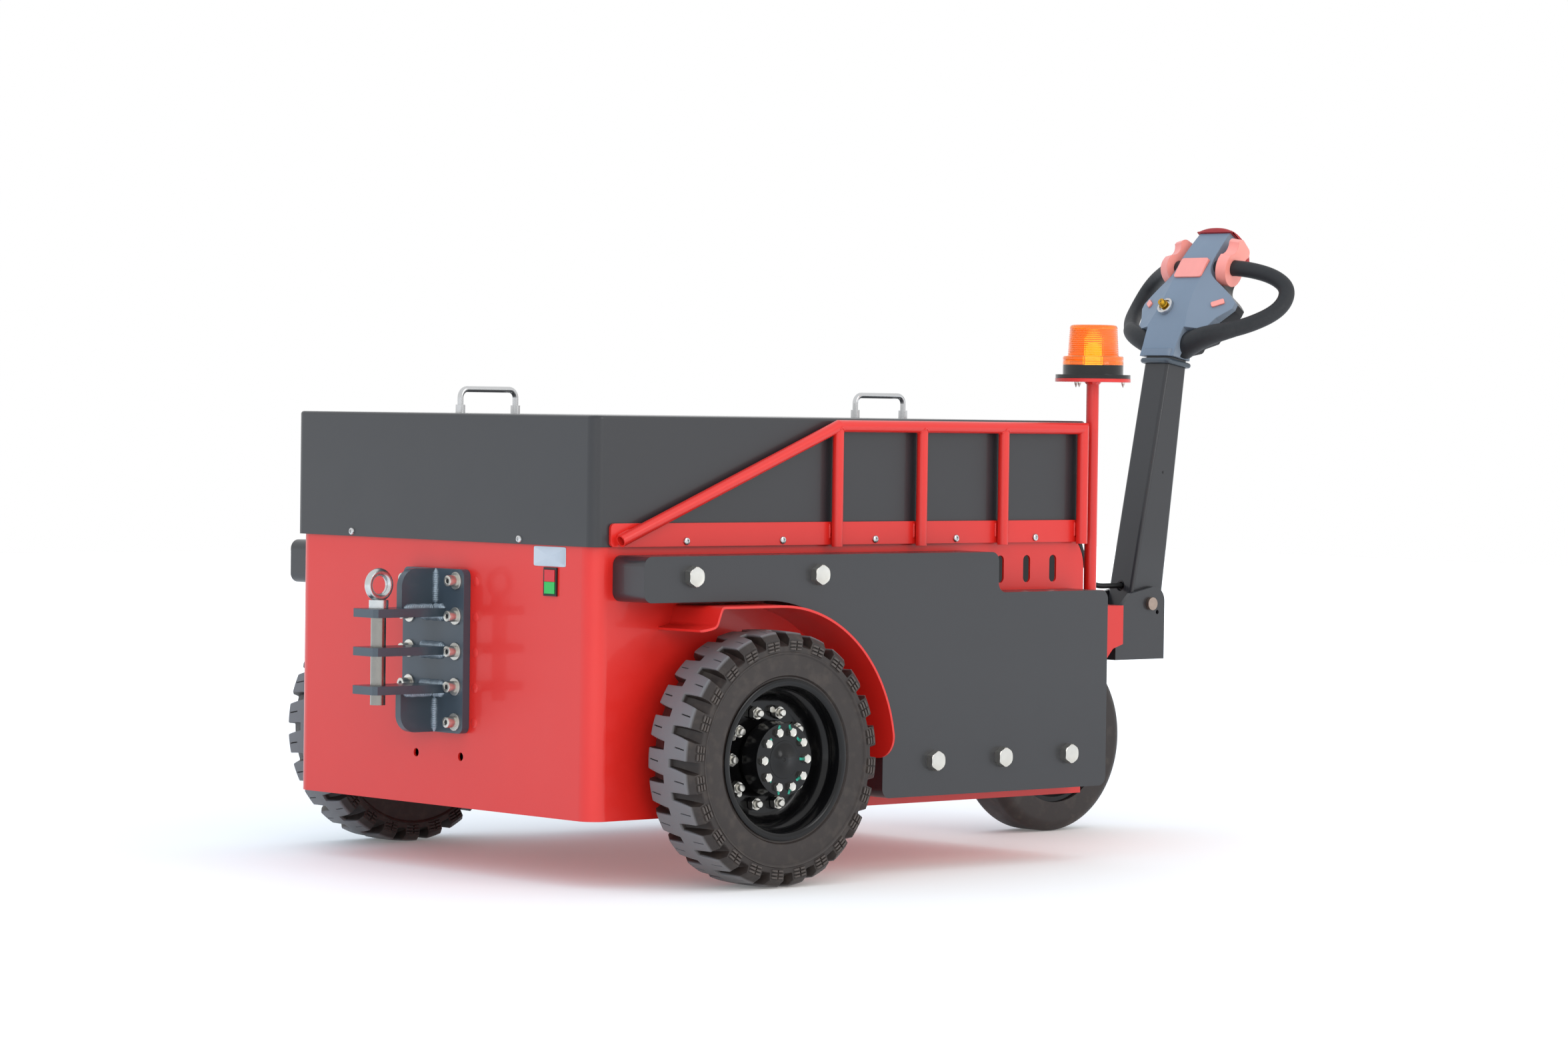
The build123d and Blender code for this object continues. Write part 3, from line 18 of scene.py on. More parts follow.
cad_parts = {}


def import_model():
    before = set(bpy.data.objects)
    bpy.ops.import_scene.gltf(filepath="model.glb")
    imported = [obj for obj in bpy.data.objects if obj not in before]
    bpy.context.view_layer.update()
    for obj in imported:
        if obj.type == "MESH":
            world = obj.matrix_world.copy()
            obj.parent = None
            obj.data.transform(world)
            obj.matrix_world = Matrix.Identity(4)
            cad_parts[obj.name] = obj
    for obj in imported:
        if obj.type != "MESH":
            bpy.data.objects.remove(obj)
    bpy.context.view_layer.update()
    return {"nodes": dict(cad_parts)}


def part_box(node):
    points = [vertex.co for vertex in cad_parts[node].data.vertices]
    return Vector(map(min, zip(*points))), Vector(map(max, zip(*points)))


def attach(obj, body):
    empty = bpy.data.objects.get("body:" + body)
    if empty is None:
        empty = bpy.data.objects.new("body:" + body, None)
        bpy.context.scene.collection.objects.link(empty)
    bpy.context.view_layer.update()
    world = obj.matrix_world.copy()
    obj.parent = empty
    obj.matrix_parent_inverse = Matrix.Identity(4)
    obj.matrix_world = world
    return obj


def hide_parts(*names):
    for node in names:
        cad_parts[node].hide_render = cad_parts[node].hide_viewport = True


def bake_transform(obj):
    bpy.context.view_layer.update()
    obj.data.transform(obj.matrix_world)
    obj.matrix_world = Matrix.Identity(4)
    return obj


log = logging.getLogger("tug")
MM = 0.001
DUST = "8A7B6C"
COAT_ROUGHNESS = 0.06
ROUGH_SPREAD = 0.15
DUST_SPAN = (0.5, 0.8)


def rear_face() -> float:
    """Place of the shell's rear face in millimetres, from which the drawing's lengths run."""
    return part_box("body_shell")[0].x / MM


class Side(Enum):
    """Side of the tug, as the sign of its Y."""

    RIGHT = -1
    LEFT = 1

    @property
    def tag(self) -> str:
        """Suffix used by the CAD nodes and bodies of this side."""
        return self.name.lower()

    def face(self, node: str) -> float:
        """Outer face of a node on this side, in millimetres."""
        low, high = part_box(node)
        return (high.y if self is Side.LEFT else low.y) / MM


class Grain(Enum):
    """Fine relief of a finish."""

    PEEL = "orange peel of sprayed powder"
    PEBBLE = "spark-eroded or foamed skin"
    TURNED = "lathe lines round the upright axis"
    CAST = "sand-cast skin"


def linear(code: str) -> tuple[float, float, float, float]:
    """Turns an sRGB hex colour into linear light.

    Args:
        code: Six hex digits, with or without a leading hash.

    Returns:
        Linear red, green, blue and an alpha of one.
    """
    srgb = [int(code.lstrip("#")[i:i + 2], 16) / 255 for i in (0, 2, 4)]
    light = [c / 12.92 if c <= 0.04045 else ((c + 0.055) / 1.055) ** 2.4 for c in srgb]
    return (*light, 1.0)


def add_node(tree: bpy.types.NodeTree, kind: str, sockets: dict | None = None, **settings) -> bpy.types.Node:
    """Adds a shader node and fills or links its inputs.

    Args:
        tree: Node tree to add to.
        kind: Blender's type name of the node.
        sockets: Values or output sockets by input name or index.
        **settings: Attributes of the node itself.

    Returns:
        The new node.
    """
    node = tree.nodes.new(kind)
    for key, value in settings.items():
        setattr(node, key, value)
    for key, value in (sockets or {}).items():
        if isinstance(value, bpy.types.NodeSocket):
            tree.links.new(value, node.inputs[key])
        else:
            node.inputs[key].default_value = value
    return node


@dataclass(frozen=True)
class Finish:
    """One real material and process, as a Principled shader with wandering tone and a fine relief."""

    name: str
    colour: str
    slot: str
    roughness: float = 0.4
    metallic: float = 0.0
    coat: float = 0.0
    mottle: float = 0.05
    mottle_mm: float = 70.0
    grain: Grain = Grain.PEEL
    grain_mm: float = 1.6
    grain_deep_mm: float = 0.012
    edge_mm: float = 0.8
    dust: float = 0.0
    dust_mm: float = 18.0
    shine: float = 0.5

    def noise(self, tree: bpy.types.NodeTree, size_mm: float, detail: float = 3.0) -> bpy.types.NodeSocket:
        """Adds a noise of a real size in the piece's own coordinates.

        Args:
            tree: Material node tree.
            size_mm: Size of one blotch.
            detail: Octaves of finer noise.

        Returns:
            The noise value socket.
        """
        place = add_node(tree, "ShaderNodeTexCoord").outputs["Object"]
        return add_node(tree, "ShaderNodeTexNoise", {"Vector": place, "Scale": 1000 / size_mm,
                                                     "Detail": detail}).outputs["Fac"]

    def relief(self, tree: bpy.types.NodeTree) -> bpy.types.NodeSocket:
        """Adds the fine relief of the finish as a height.

        Args:
            tree: Material node tree.

        Returns:
            Height socket, from nought to one.
        """
        place = add_node(tree, "ShaderNodeTexCoord").outputs["Object"]
        if self.grain is Grain.PEBBLE:
            cells = add_node(tree, "ShaderNodeTexVoronoi", {"Vector": place, "Scale": 1000 / self.grain_mm})
            return cells.outputs["Distance"]
        if self.grain is Grain.TURNED:
            lines = add_node(tree, "ShaderNodeTexWave", {"Vector": place,
                                                         "Scale": 1000 / self.grain_mm / 6.28,
                                                         "Distortion": 0.6}, bands_direction="Z")
            return lines.outputs["Fac"]
        return self.noise(tree, self.grain_mm, 5.0 if self.grain is Grain.CAST else 1.0)

    def tone(self, tree: bpy.types.NodeTree) -> bpy.types.NodeSocket:
        """Adds the colour: the base tone wandering a little, with pale dust where the finish gathers it.

        Args:
            tree: Material node tree.

        Returns:
            Colour socket.
        """
        base = linear(self.colour)
        dark = tuple(c * (1 - self.mottle) for c in base[:3]) + (1.0,)
        light = tuple(min(1.0, c * (1 + self.mottle)) for c in base[:3]) + (1.0,)
        mix = add_node(tree, "ShaderNodeMix", {"Factor": self.noise(tree, self.mottle_mm), "A": dark,
                                               "B": light}, data_type="RGBA")
        colour = mix.outputs[2]
        if self.dust:
            spread = add_node(tree, "ShaderNodeMapRange", {"Value": self.noise(tree, self.dust_mm, 6.0),
                                                           "From Min": DUST_SPAN[0], "From Max": DUST_SPAN[1],
                                                           "To Max": self.dust})
            layer = add_node(tree, "ShaderNodeMix", {"Factor": spread.outputs[0], "A": colour,
                                                     "B": linear(DUST)}, data_type="RGBA")
            colour = layer.outputs[2]
        return colour

    def shade(self, tree: bpy.types.NodeTree) -> bpy.types.NodeSocket:
        """Builds the surface shader.

        Args:
            tree: Material node tree.

        Returns:
            Shader socket for the material output.
        """
        rough = add_node(tree, "ShaderNodeMapRange", {
            "Value": self.noise(tree, self.mottle_mm / 3), "To Min": self.roughness * (1 - ROUGH_SPREAD),
            "To Max": min(1.0, self.roughness * (1 + ROUGH_SPREAD))})
        soft = add_node(tree, "ShaderNodeBevel", {"Radius": self.edge_mm * MM}, samples=4)
        bump = add_node(tree, "ShaderNodeBump", {"Height": self.relief(tree),
                                                 "Distance": self.grain_deep_mm * MM,
                                                 "Normal": soft.outputs[0]})
        shader = add_node(tree, "ShaderNodeBsdfPrincipled", {
            "Base Color": self.tone(tree), "Roughness": rough.outputs[0], "Metallic": self.metallic,
            "Specular IOR Level": self.shine, "Coat Weight": self.coat, "Coat Roughness": COAT_ROUGHNESS,
            "Normal": bump.outputs[0]})
        return shader.outputs[0]

    def material(self) -> bpy.types.Material:
        """Makes the material once and hands out the same one afterwards.

        Returns:
            The Blender material.
        """
        found = bpy.data.materials.get(self.name)
        if found:
            return found
        made = bpy.data.materials.new(self.name)
        made.use_nodes = True
        tree = made.node_tree
        tree.nodes.clear()
        add_node(tree, "ShaderNodeOutputMaterial", {"Surface": self.shade(tree)})
        made.diffuse_color = linear(self.colour)
        return made


@dataclass(frozen=True)
class Lens(Finish):
    """Clear amber polycarbonate with moulded rings and fine upright flutes round its axis."""

    axis_x: float = 0.0
    axis_y: float = 0.0
    flutes: int = 72
    flute_share: float = 0.35
    ring_mm: float = 4.2
    index: float = 1.5
    clear: float = 0.72
    glow: str = "F58A20"
    glow_strength: float = 0.1

    def relief(self, tree: bpy.types.NodeTree) -> bpy.types.NodeSocket:
        """Adds lens rings by height and fine flutes by the angle round the lens axis.

        Args:
            tree: Material node tree.

        Returns:
            Height socket.
        """
        place = add_node(tree, "ShaderNodeTexCoord").outputs["Object"]
        offset = add_node(tree, "ShaderNodeVectorMath", {0: place, 1: (self.axis_x, self.axis_y, 0.0)},
                          operation="SUBTRACT")
        split = add_node(tree, "ShaderNodeSeparateXYZ", {0: offset.outputs[0]})
        angle = add_node(tree, "ShaderNodeMath", {0: split.outputs[1], 1: split.outputs[0]},
                         operation="ARCTAN2")
        turns = add_node(tree, "ShaderNodeMath", {0: angle.outputs[0], 1: float(self.flutes)},
                         operation="MULTIPLY")
        wave = add_node(tree, "ShaderNodeMath", {0: turns.outputs[0]}, operation="SINE")
        rise = add_node(tree, "ShaderNodeMath", {0: split.outputs[2], 1: 2 * math.pi / (self.ring_mm * MM)},
                        operation="MULTIPLY")
        rings = add_node(tree, "ShaderNodeMath", {0: rise.outputs[0]}, operation="SINE")
        return add_node(tree, "ShaderNodeMath", {0: wave.outputs[0], 1: self.flute_share,
                                                 2: rings.outputs[0]}, operation="MULTIPLY_ADD").outputs[0]

    def shade(self, tree: bpy.types.NodeTree) -> bpy.types.NodeSocket:
        """Builds a clear coloured shader with a little of its own glow.

        Args:
            tree: Material node tree.

        Returns:
            Shader socket.
        """
        bump = add_node(tree, "ShaderNodeBump", {"Height": self.relief(tree),
                                                 "Distance": self.grain_deep_mm * MM})
        shader = add_node(tree, "ShaderNodeBsdfPrincipled", {
            "Base Color": self.tone(tree), "Roughness": self.roughness, "IOR": self.index,
            "Transmission Weight": self.clear, "Normal": bump.outputs[0], "Emission Color": linear(self.glow),
            "Emission Strength": self.glow_strength})
        return shader.outputs[0]


@dataclass(frozen=True)
class Glow(Finish):
    """Lamp glass lit from inside, in bright and dim patches."""

    glow: str = "FFC83A"
    strength: float = 4.5
    dim: float = 0.5
    bright: float = 1.4
    patch_mm: float = 14.0

    def shade(self, tree: bpy.types.NodeTree) -> bpy.types.NodeSocket:
        """Builds a glossy emitting shader with a mottled brightness.

        Args:
            tree: Material node tree.

        Returns:
            Shader socket.
        """
        level = add_node(tree, "ShaderNodeMapRange", {"Value": self.noise(tree, self.patch_mm),
                                                      "To Min": self.strength * self.dim,
                                                      "To Max": self.strength * self.bright})
        shader = add_node(tree, "ShaderNodeBsdfPrincipled", {
            "Base Color": self.tone(tree), "Roughness": self.roughness, "Emission Color": linear(self.glow),
            "Emission Strength": level.outputs[0]})
        return shader.outputs[0]


@dataclass(frozen=True)
class Sweep(Finish):
    """Painted studio floor that fades to plain white with distance."""

    near: float = 2.4
    far: float = 6.5
    foot: float = 0.14
    lift: float = 0.5

    def shade(self, tree: bpy.types.NodeTree) -> bpy.types.NodeSocket:
        """Builds a matt shader with a glow that grows outward.

        Args:
            tree: Material node tree.

        Returns:
            Shader socket.
        """
        place = add_node(tree, "ShaderNodeTexCoord").outputs["Object"]
        reach = add_node(tree, "ShaderNodeVectorMath", {0: place}, operation="LENGTH")
        glow = add_node(tree, "ShaderNodeMapRange", {"Value": reach.outputs["Value"], "From Min": self.near,
                                                     "From Max": self.far, "To Min": self.foot,
                                                     "To Max": self.lift})
        shader = add_node(tree, "ShaderNodeBsdfPrincipled", {"Base Color": self.tone(tree),
                                                             "Roughness": self.roughness,
                                                             "Emission Color": (1.0, 1.0, 1.0, 1.0),
                                                             "Emission Strength": glow.outputs[0]})
        return shader.outputs[0]


@dataclass(frozen=True)
class Tread(Finish):
    """Tyre rubber with a running face scuffed pale, and the raised shoulder bars painted lighter: a painted
    highlight on the lit ridges against the shaded recesses between them.
    """

    axis_x: float = 0.0
    axis_z: float = 0.0
    radius: float = 0.2
    worn_mm: float = 5.0
    worn_full: float = 0.4
    worn_cover: float = 0.85
    worn: str = "6E6C6D"
    wall: float = 0.5
    # Colour of the raised shoulder bars: a painted highlight, lighter than the rubber, against the shaded
    # recesses
    rib: str = "463F3B"
    highlight_from_mm: float = 0.9
    highlight_full_mm: float = 2.0

    def tone(self, tree: bpy.types.NodeTree) -> bpy.types.NodeSocket:
        """Adds the scuffed tone near the outside radius, and the painted highlight on the raised shoulder
        bars.

        Args:
            tree: Material node tree.

        Returns:
            Colour socket.
        """
        place = add_node(tree, "ShaderNodeTexCoord").outputs["Object"]
        offset = add_node(tree, "ShaderNodeVectorMath", {0: place, 1: (self.axis_x, 0.0, self.axis_z)},
                          operation="SUBTRACT")
        flat = add_node(tree, "ShaderNodeVectorMath", {0: offset.outputs[0], 1: (1.0, 0.0, 1.0)},
                        operation="MULTIPLY")
        reach = add_node(tree, "ShaderNodeVectorMath", {0: flat.outputs[0]}, operation="LENGTH")
        share = add_node(tree, "ShaderNodeMapRange", {
            "Value": reach.outputs["Value"], "From Min": self.radius - self.worn_mm * MM,
            "From Max": self.radius - self.worn_mm * MM * self.worn_full, "To Max": self.worn_cover})
        mix = add_node(tree, "ShaderNodeMix", {"Factor": share.outputs[0], "A": super().tone(tree),
                                               "B": linear(self.worn)}, data_type="RGBA")
        side = add_node(tree, "ShaderNodeSeparateXYZ", {0: place})
        # Painted highlight: outboard of the wall's face, the raised shoulder bars take the lighter rib colour
        wide = add_node(tree, "ShaderNodeMath", {0: side.outputs[1]}, operation="ABSOLUTE")
        highlight_share = add_node(tree, "ShaderNodeMapRange", {"Value": wide.outputs[0],
                                                      "From Min": self.wall + self.highlight_from_mm * MM,
                                                      "From Max": self.wall + self.highlight_full_mm * MM})
        ribs = add_node(tree, "ShaderNodeMix", {"Factor": highlight_share.outputs[0], "A": mix.outputs[2],
                                                "B": linear(self.rib)}, data_type="RGBA")
        return ribs.outputs[2]


@dataclass(frozen=True)
class Pin(Finish):
    """Turned steel shank under a zinc-plated lifting eye, parted at a level."""

    level: float = 0.437
    eye: str = "C4C8C9"

    def tone(self, tree: bpy.types.NodeTree) -> bpy.types.NodeSocket:
        """Adds shank colour below the level and eye colour above it.

        Args:
            tree: Material node tree.

        Returns:
            Colour socket.
        """
        place = add_node(tree, "ShaderNodeTexCoord").outputs["Object"]
        split = add_node(tree, "ShaderNodeSeparateXYZ", {0: place})
        above = add_node(tree, "ShaderNodeMath", {0: split.outputs[2], 1: self.level},
                         operation="GREATER_THAN")
        mix = add_node(tree, "ShaderNodeMix", {"Factor": above.outputs[0], "A": super().tone(tree),
                                               "B": linear(self.eye)}, data_type="RGBA")
        return mix.outputs[2]


# Traffic-red powder coat over bent sheet: satin gloss with a light orange peel
RED = Finish("powder_coat_red", "CF221B", "red_paint", 0.34, coat=0.2, mottle=0.04, mottle_mm=240,
             grain_mm=1.8)
# Graphite powder coat over plate and sheet: fine satin with a soft sheen
GRAPHITE = Finish("powder_coat_graphite", "242528", "grey_paint", 0.36, coat=0.25, mottle=0.06, mottle_mm=180,
                  grain_mm=1.2, grain_deep_mm=0.014)
# Graphite powder coat of the hitch bracket and the arm's collar bead, coloured a shade bluer and lighter than
# the panels as a painted reflection of the sky
PAINTED_SKY_GRAPHITE = Finish("graphite_coat_painted_sky", "3A454E", "grey_paint", 0.36, coat=0.2, mottle=0.08, mottle_mm=60,
               grain_mm=1.2, grain_deep_mm=0.014)
# Moulded solid tyre rubber, brown-black, dull with a dusty bloom
RUBBER = Finish("moulded_rubber", "251E1B", "tyre", 0.5, mottle=0.16, mottle_mm=45, grain=Grain.CAST,
                grain_mm=2.4, grain_deep_mm=0.05, edge_mm=0.8, dust=0.10)
# Gloss black stoving enamel on the wheels: deep, with soft mirror bands. The steering nose takes it as
# painted shade, dark where it is seen through the body's slots
ENAMEL = Finish("black_enamel", "0C0C0D", "black_paint", 0.17, mottle=0.08, mottle_mm=60, grain_mm=3.0,
                grain_deep_mm=0.006, edge_mm=1.2, shine=0.3)
# Bright zinc plate on nuts, bolts and screws: warm silver, slightly cloudy
ZINC = Finish("zinc_plate", "D2D0C9", "zinc", 0.33, 1.0, mottle=0.08, mottle_mm=9, grain_mm=0.9,
              grain_deep_mm=0.008, edge_mm=0.5)
# Polished stainless of the handles, the trim screws and the key ring: clear reflections
STAINLESS = Finish("stainless_bar", "C9CACB", "steel", 0.2, 1.0, mottle=0.04, mottle_mm=30, grain_mm=0.7,
                   grain_deep_mm=0.004, edge_mm=0.6)
# Turned steel pin with a plated eye: fine lathe lines
PIN = Pin("turned_pin", "8E8C87", "steel", 0.26, 1.0, mottle=0.12, mottle_mm=22, grain=Grain.TURNED,
          grain_mm=0.8, grain_deep_mm=0.006, edge_mm=0.8)
# Foamed soft grip on the loops: matt, with fine pores
GRIP = Finish("foam_grip", "1D1F22", "grip", 0.62, mottle=0.12, mottle_mm=20, grain=Grain.PEBBLE,
              grain_mm=0.9, grain_deep_mm=0.03, edge_mm=1.0)
# Moulded grey-blue housing with a fine spark-eroded skin
HOUSING = Finish("moulded_housing", "74808D", "head_plastic", 0.5, mottle=0.05, mottle_mm=60,
                 grain=Grain.PEBBLE, grain_mm=0.7, grain_deep_mm=0.015, edge_mm=2.5)
# Moulded coral plastic of buttons and paddles: soft gloss with rounded edges; the colour is set paler than
# the coral itself, a painted sheen of its highlights
CORAL = Finish("moulded_coral", "F49486", "pink_plastic", 0.42, coat=0.1, mottle=0.05, mottle_mm=25,
               grain_mm=0.8, grain_deep_mm=0.008, edge_mm=2.5)
# Moulded dark red plastic of the belly pad: soft gloss
CRIMSON = Finish("moulded_crimson", "A3161C", "red_plastic", 0.35, coat=0.2, mottle=0.06, mottle_mm=30,
                 grain_mm=0.9, grain_deep_mm=0.008, edge_mm=2.0)
# Moulded signal red of one rocker half: soft gloss
ROCKER_RED = Finish("moulded_signal_red", "C6202A", "red_plastic", 0.3, mottle=0.05, mottle_mm=12,
                    grain_mm=0.6, grain_deep_mm=0.006, edge_mm=1.0)
# Moulded signal green of the other rocker half: the same gloss
ROCKER_GREEN = Finish("moulded_signal_green", "1FA84A", "green_plastic", 0.3, mottle=0.05, mottle_mm=12,
                      grain_mm=0.6, grain_deep_mm=0.006, edge_mm=1.0)
# Moulded black plastic of the switch frame, the lower head housing and the cable's fittings: soft sheen. It
# also paints shade: the keyway slit, the floors of the hitch sockets and the small holes in the arm
BLACK = Finish("moulded_black", "131315", "black_plastic", 0.38, mottle=0.15, mottle_mm=25, grain_mm=0.8,
               grain_deep_mm=0.01, edge_mm=1.2)
# Moulded traction battery case: matt and pebbled
CASE = Finish("battery_case", "26282B", "battery_case", 0.6, mottle=0.1, mottle_mm=80, grain=Grain.PEBBLE,
              grain_mm=1.2, grain_deep_mm=0.03)
# Painted axle casting: dull, with a sand-cast skin
CASTING = Finish("painted_casting", "1A1B1D", "cast", 0.55, mottle=0.2, mottle_mm=40, grain=Grain.CAST,
                 grain_mm=3.0, grain_deep_mm=0.12)
# Extruded black cable sheath: faint sheen
SHEATH = Finish("cable_sheath", "0E0E0F", "cable", 0.45, mottle=0.1, mottle_mm=15, grain_mm=0.8,
                grain_deep_mm=0.01)
# Clear anodised aluminium of the blank plate: pale and silky
ANODISED = Finish("anodised_plate", "B9C0C8", "zinc", 0.45, 0.35, mottle=0.04, mottle_mm=30, grain_mm=0.5,
                  grain_deep_mm=0.006, edge_mm=0.4)
# Weld bead under the grey coat, coloured a light bluish silver as a painted highlight of its gloss
WELD_PAINTED_HIGHLIGHT = Finish("weld_painted_highlight", "93A1AC", "grey_paint", 0.25, 0.6, mottle=0.35, mottle_mm=5, grain=Grain.CAST,
              grain_mm=1.6, grain_deep_mm=0.12)
# Turned brass of the key barrel: warm and bright
BRASS = Finish("turned_brass", "C79A2E", "zinc", 0.28, 1.0, mottle=0.1, mottle_mm=6, grain_mm=0.5,
               grain_deep_mm=0.006, edge_mm=0.4)
# Bare steel of the pivot bolt, a little browned
BARE = Finish("bare_steel", "A8968A", "steel", 0.4, 1.0, mottle=0.15, mottle_mm=8, grain=Grain.CAST,
              grain_mm=1.2, grain_deep_mm=0.02, edge_mm=1.0)
# Moulded gloss black plastic of the beacon base: mirror bands
GLOSS = Finish("moulded_gloss_black", "0F0F10", "black_plastic", 0.13, mottle=0.1, mottle_mm=25, grain_mm=4.0,
               grain_deep_mm=0.02, edge_mm=1.5)
# Teal torque-mark lacquer, brushed on by hand
MARKER = Finish("torque_lacquer", "0E8F78", "black_plastic", 0.35, mottle=0.2, mottle_mm=4, grain_mm=0.6,
                grain_deep_mm=0.01, edge_mm=0.2)
# Lamp glass lit from inside: a warm patchy glow
LAMP = Glow("lamp_glass", "F4D070", "lamp", 0.15)

# Names of the CAD nodes that each finish covers
FINISHED_NODES: dict[Finish, str] = {
    RED: "body_shell floor_pan front_wall guard_rail_right guard_rail_left mudguard_right mudguard_left "
         "beacon_post steer_fork",
    GRAPHITE: "cover ballast_right ballast_left tiller_yoke tiller_arm",
    PAINTED_SKY_GRAPHITE: "hitch_bracket",
    # The nose frame takes the black as painted shade, seen dark through the body's slots
    ENAMEL: "nose_frame rear_rim_right rear_rim_left rear_hub_right rear_hub_left front_disc",
    RUBBER: "rear_tyre_right rear_tyre_left front_tyre",
    STAINLESS: "cover_handle_rear cover_handle_front",
    CORAL: "paddle_left paddle_right drive_button thumb_button_left thumb_button_right",
    BLACK: "switch_frame head_body",
    GRIP: "grip_loop_left grip_loop_right",
    ZINC: "front_axle key_switch",
    CASE: "battery_pack", CASTING: "drive_axle", PIN: "hitch_pin", GLOSS: "beacon_base", LAMP: "beacon_lamp",
    ROCKER_RED: "switch_red", ROCKER_GREEN: "switch_green", BARE: "pivot_bolt", HOUSING: "tiller_head",
    CRIMSON: "belly_pad", SHEATH: "control_cable"}


@dataclass
class Surface:
    """Points and faces of one piece, in metres, grown from parametric grids."""

    points: list[np.ndarray] = field(default_factory=list)
    faces: list[tuple[int, ...]] = field(default_factory=list)
    count: int = 0

    def add_grid(self, grid: np.ndarray, around: bool = True, closed: bool = False,
                 caps: bool = False) -> Surface:
        """Adds a grid of points as quads.

        Args:
            grid: Array of rows by columns by three, in metres.
            around: Join the last column to the first.
            closed: Join the last row to the first.
            caps: Close the first and last row with one face each.

        Returns:
            This surface, so that calls can follow one another.
        """
        rows, cols = grid.shape[:2]
        index = np.arange(rows * cols).reshape(rows, cols) + self.count
        wide = np.hstack([index, index[:, :1]]) if around else index
        tall = np.vstack([wide, wide[:1]]) if closed else wide
        quads = np.stack([tall[:-1, :-1], tall[:-1, 1:], tall[1:, 1:], tall[1:, :-1]], axis=-1).reshape(-1, 4)
        self.faces.extend(map(tuple, quads.tolist()))
        if caps:
            self.faces.append(tuple(index[0, ::-1].tolist()))
            self.faces.append(tuple(index[-1].tolist()))
        self.points.append(grid.reshape(-1, 3))
        self.count += rows * cols
        return self

    def add_copies(self, grid: np.ndarray, places: list[np.ndarray]) -> Surface:
        """Adds a grid, closed at its ends, once at each place.

        Args:
            grid: Points in the local frame, in metres.
            places: Four-by-four matrices.

        Returns:
            This surface, so that calls can follow one another.
        """
        for place in places:
            self.add_grid(moved(grid, place), caps=True)
        return self

    def add_welds(self, runs: list[tuple]) -> Surface:
        """Adds a weld bead for each run.

        Args:
            runs: What weld_bead takes, for each bead.

        Returns:
            This surface, so that calls can follow one another.
        """
        for run in runs:
            self.add_grid(weld_bead(*run), caps=True)
        return self

    def piece(self, name: str, finish: Finish, body: str, replaces: tuple[str, ...] = (), sharp: float = 35.0,
              bend: tuple[str, Vector, Vector] | None = None) -> bpy.types.Object:
        """Turns the surface into an object that rides on a body.

        Args:
            name: Piece name.
            finish: Its finish.
            body: CAD body that carries it.
            replaces: CAD nodes that it stands for.
            sharp: Angle in degrees above which an edge stays sharp.
            bend: Second body with start and end points; when given, the piece keeps its baked place and rides
                on no body, and the body and points themselves are not used.

        Returns:
            The object.
        """
        mesh = bpy.data.meshes.new(name)
        mesh.from_pydata(np.vstack(self.points), [], self.faces)
        work = bmesh.new()
        work.from_mesh(mesh)
        bmesh.ops.recalc_face_normals(work, faces=work.faces)
        work.to_mesh(mesh)
        work.free()
        mesh.polygons.foreach_set("use_smooth", np.ones(len(mesh.polygons), dtype=bool))
        mesh.set_sharp_from_angle(angle=math.radians(sharp))
        mesh.materials.append(finish.material())
        made = bpy.data.objects.new(name, mesh)
        bpy.context.scene.collection.objects.link(made)
        if bend:
            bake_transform(made)
        else:
            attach(made, body)
        if replaces:
            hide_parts(*replaces)
        log.info("%s: %d faces on %s in %s", name, len(mesh.polygons), body, finish.name)
        return made


def moved(grid: np.ndarray, place: np.ndarray) -> np.ndarray:
    """Carries local points to a place given by a four-by-four matrix."""
    return grid @ place[:3, :3].T + place[:3, 3]


def ring(count: int, start: float = 0.0) -> np.ndarray:
    """Evenly spaced angles round a circle.

    Args:
        count: Number of angles.
        start: First angle in degrees.

    Returns:
        Angles in radians.
    """
    return np.radians(start) + np.arange(count) * 2 * math.pi / count


def place_at(origin: tuple[float, float, float], out: tuple[float, float, float],
             turn: float = 0.0) -> np.ndarray:
    """Frame with its Z along a direction.

    Args:
        origin: Place in millimetres.
        out: Direction of the local Z.
        turn: Turn about that direction in degrees.

    Returns:
        Four-by-four matrix in metres.
    """
    aim = Vector(out).to_track_quat("Z", "Y").to_matrix().to_4x4()
    spin = aim @ Matrix.Rotation(math.radians(turn), 4, "Z")
    return np.array(Matrix.Translation(Vector(origin) * MM) @ spin)


def revolved(profile: list[tuple[float, float]] | np.ndarray, count: int = 48) -> np.ndarray:
    """Turns a profile round the local Z.

    Args:
        profile: Radius and height pairs in millimetres.
        count: Columns round the axis.

    Returns:
        Grid of points in metres.
    """
    line = np.array(profile) * MM
    turn = ring(count)
    across = line[:, :1]
    return np.stack([across * np.cos(turn), across * np.sin(turn), line[:, 1:] + 0 * turn], axis=-1)


def hexagon(flats: float, turn: np.ndarray) -> np.ndarray:
    """Distance of a hexagon's edge from its middle at each angle: half the flats over a cosine."""
    return flats / 2 / np.cos((turn + math.pi / 6) % (math.pi / 3) - math.pi / 6)


def hex_head(flats: float, height: float, foot: float = 0.0, count: int = 48) -> np.ndarray:
    """Hexagon head with its corners turned off.

    Args:
        flats: Width across flats in millimetres.
        height: Height of the head.
        foot: Height at which it starts.
        count: Columns round the axis, a multiple of twelve.

    Returns:
        Grid of points in metres, base first.
    """
    turn = ring(count)
    flat = flats / 2
    sides = hexagon(flats, turn)
    edge = height - (sides - flat) * 0.58
    round_top = np.full(count, flat * 0.97)
    radii = np.stack([sides, sides, round_top, round_top * 0.93, round_top * 0.3]) * MM
    levels = np.stack([np.full(count, foot), edge, np.full(count, height), np.full(count, height - 0.3),
                       np.full(count, height - 0.3)]) * MM
    return np.stack([radii * np.cos(turn), radii * np.sin(turn), levels], axis=-1)


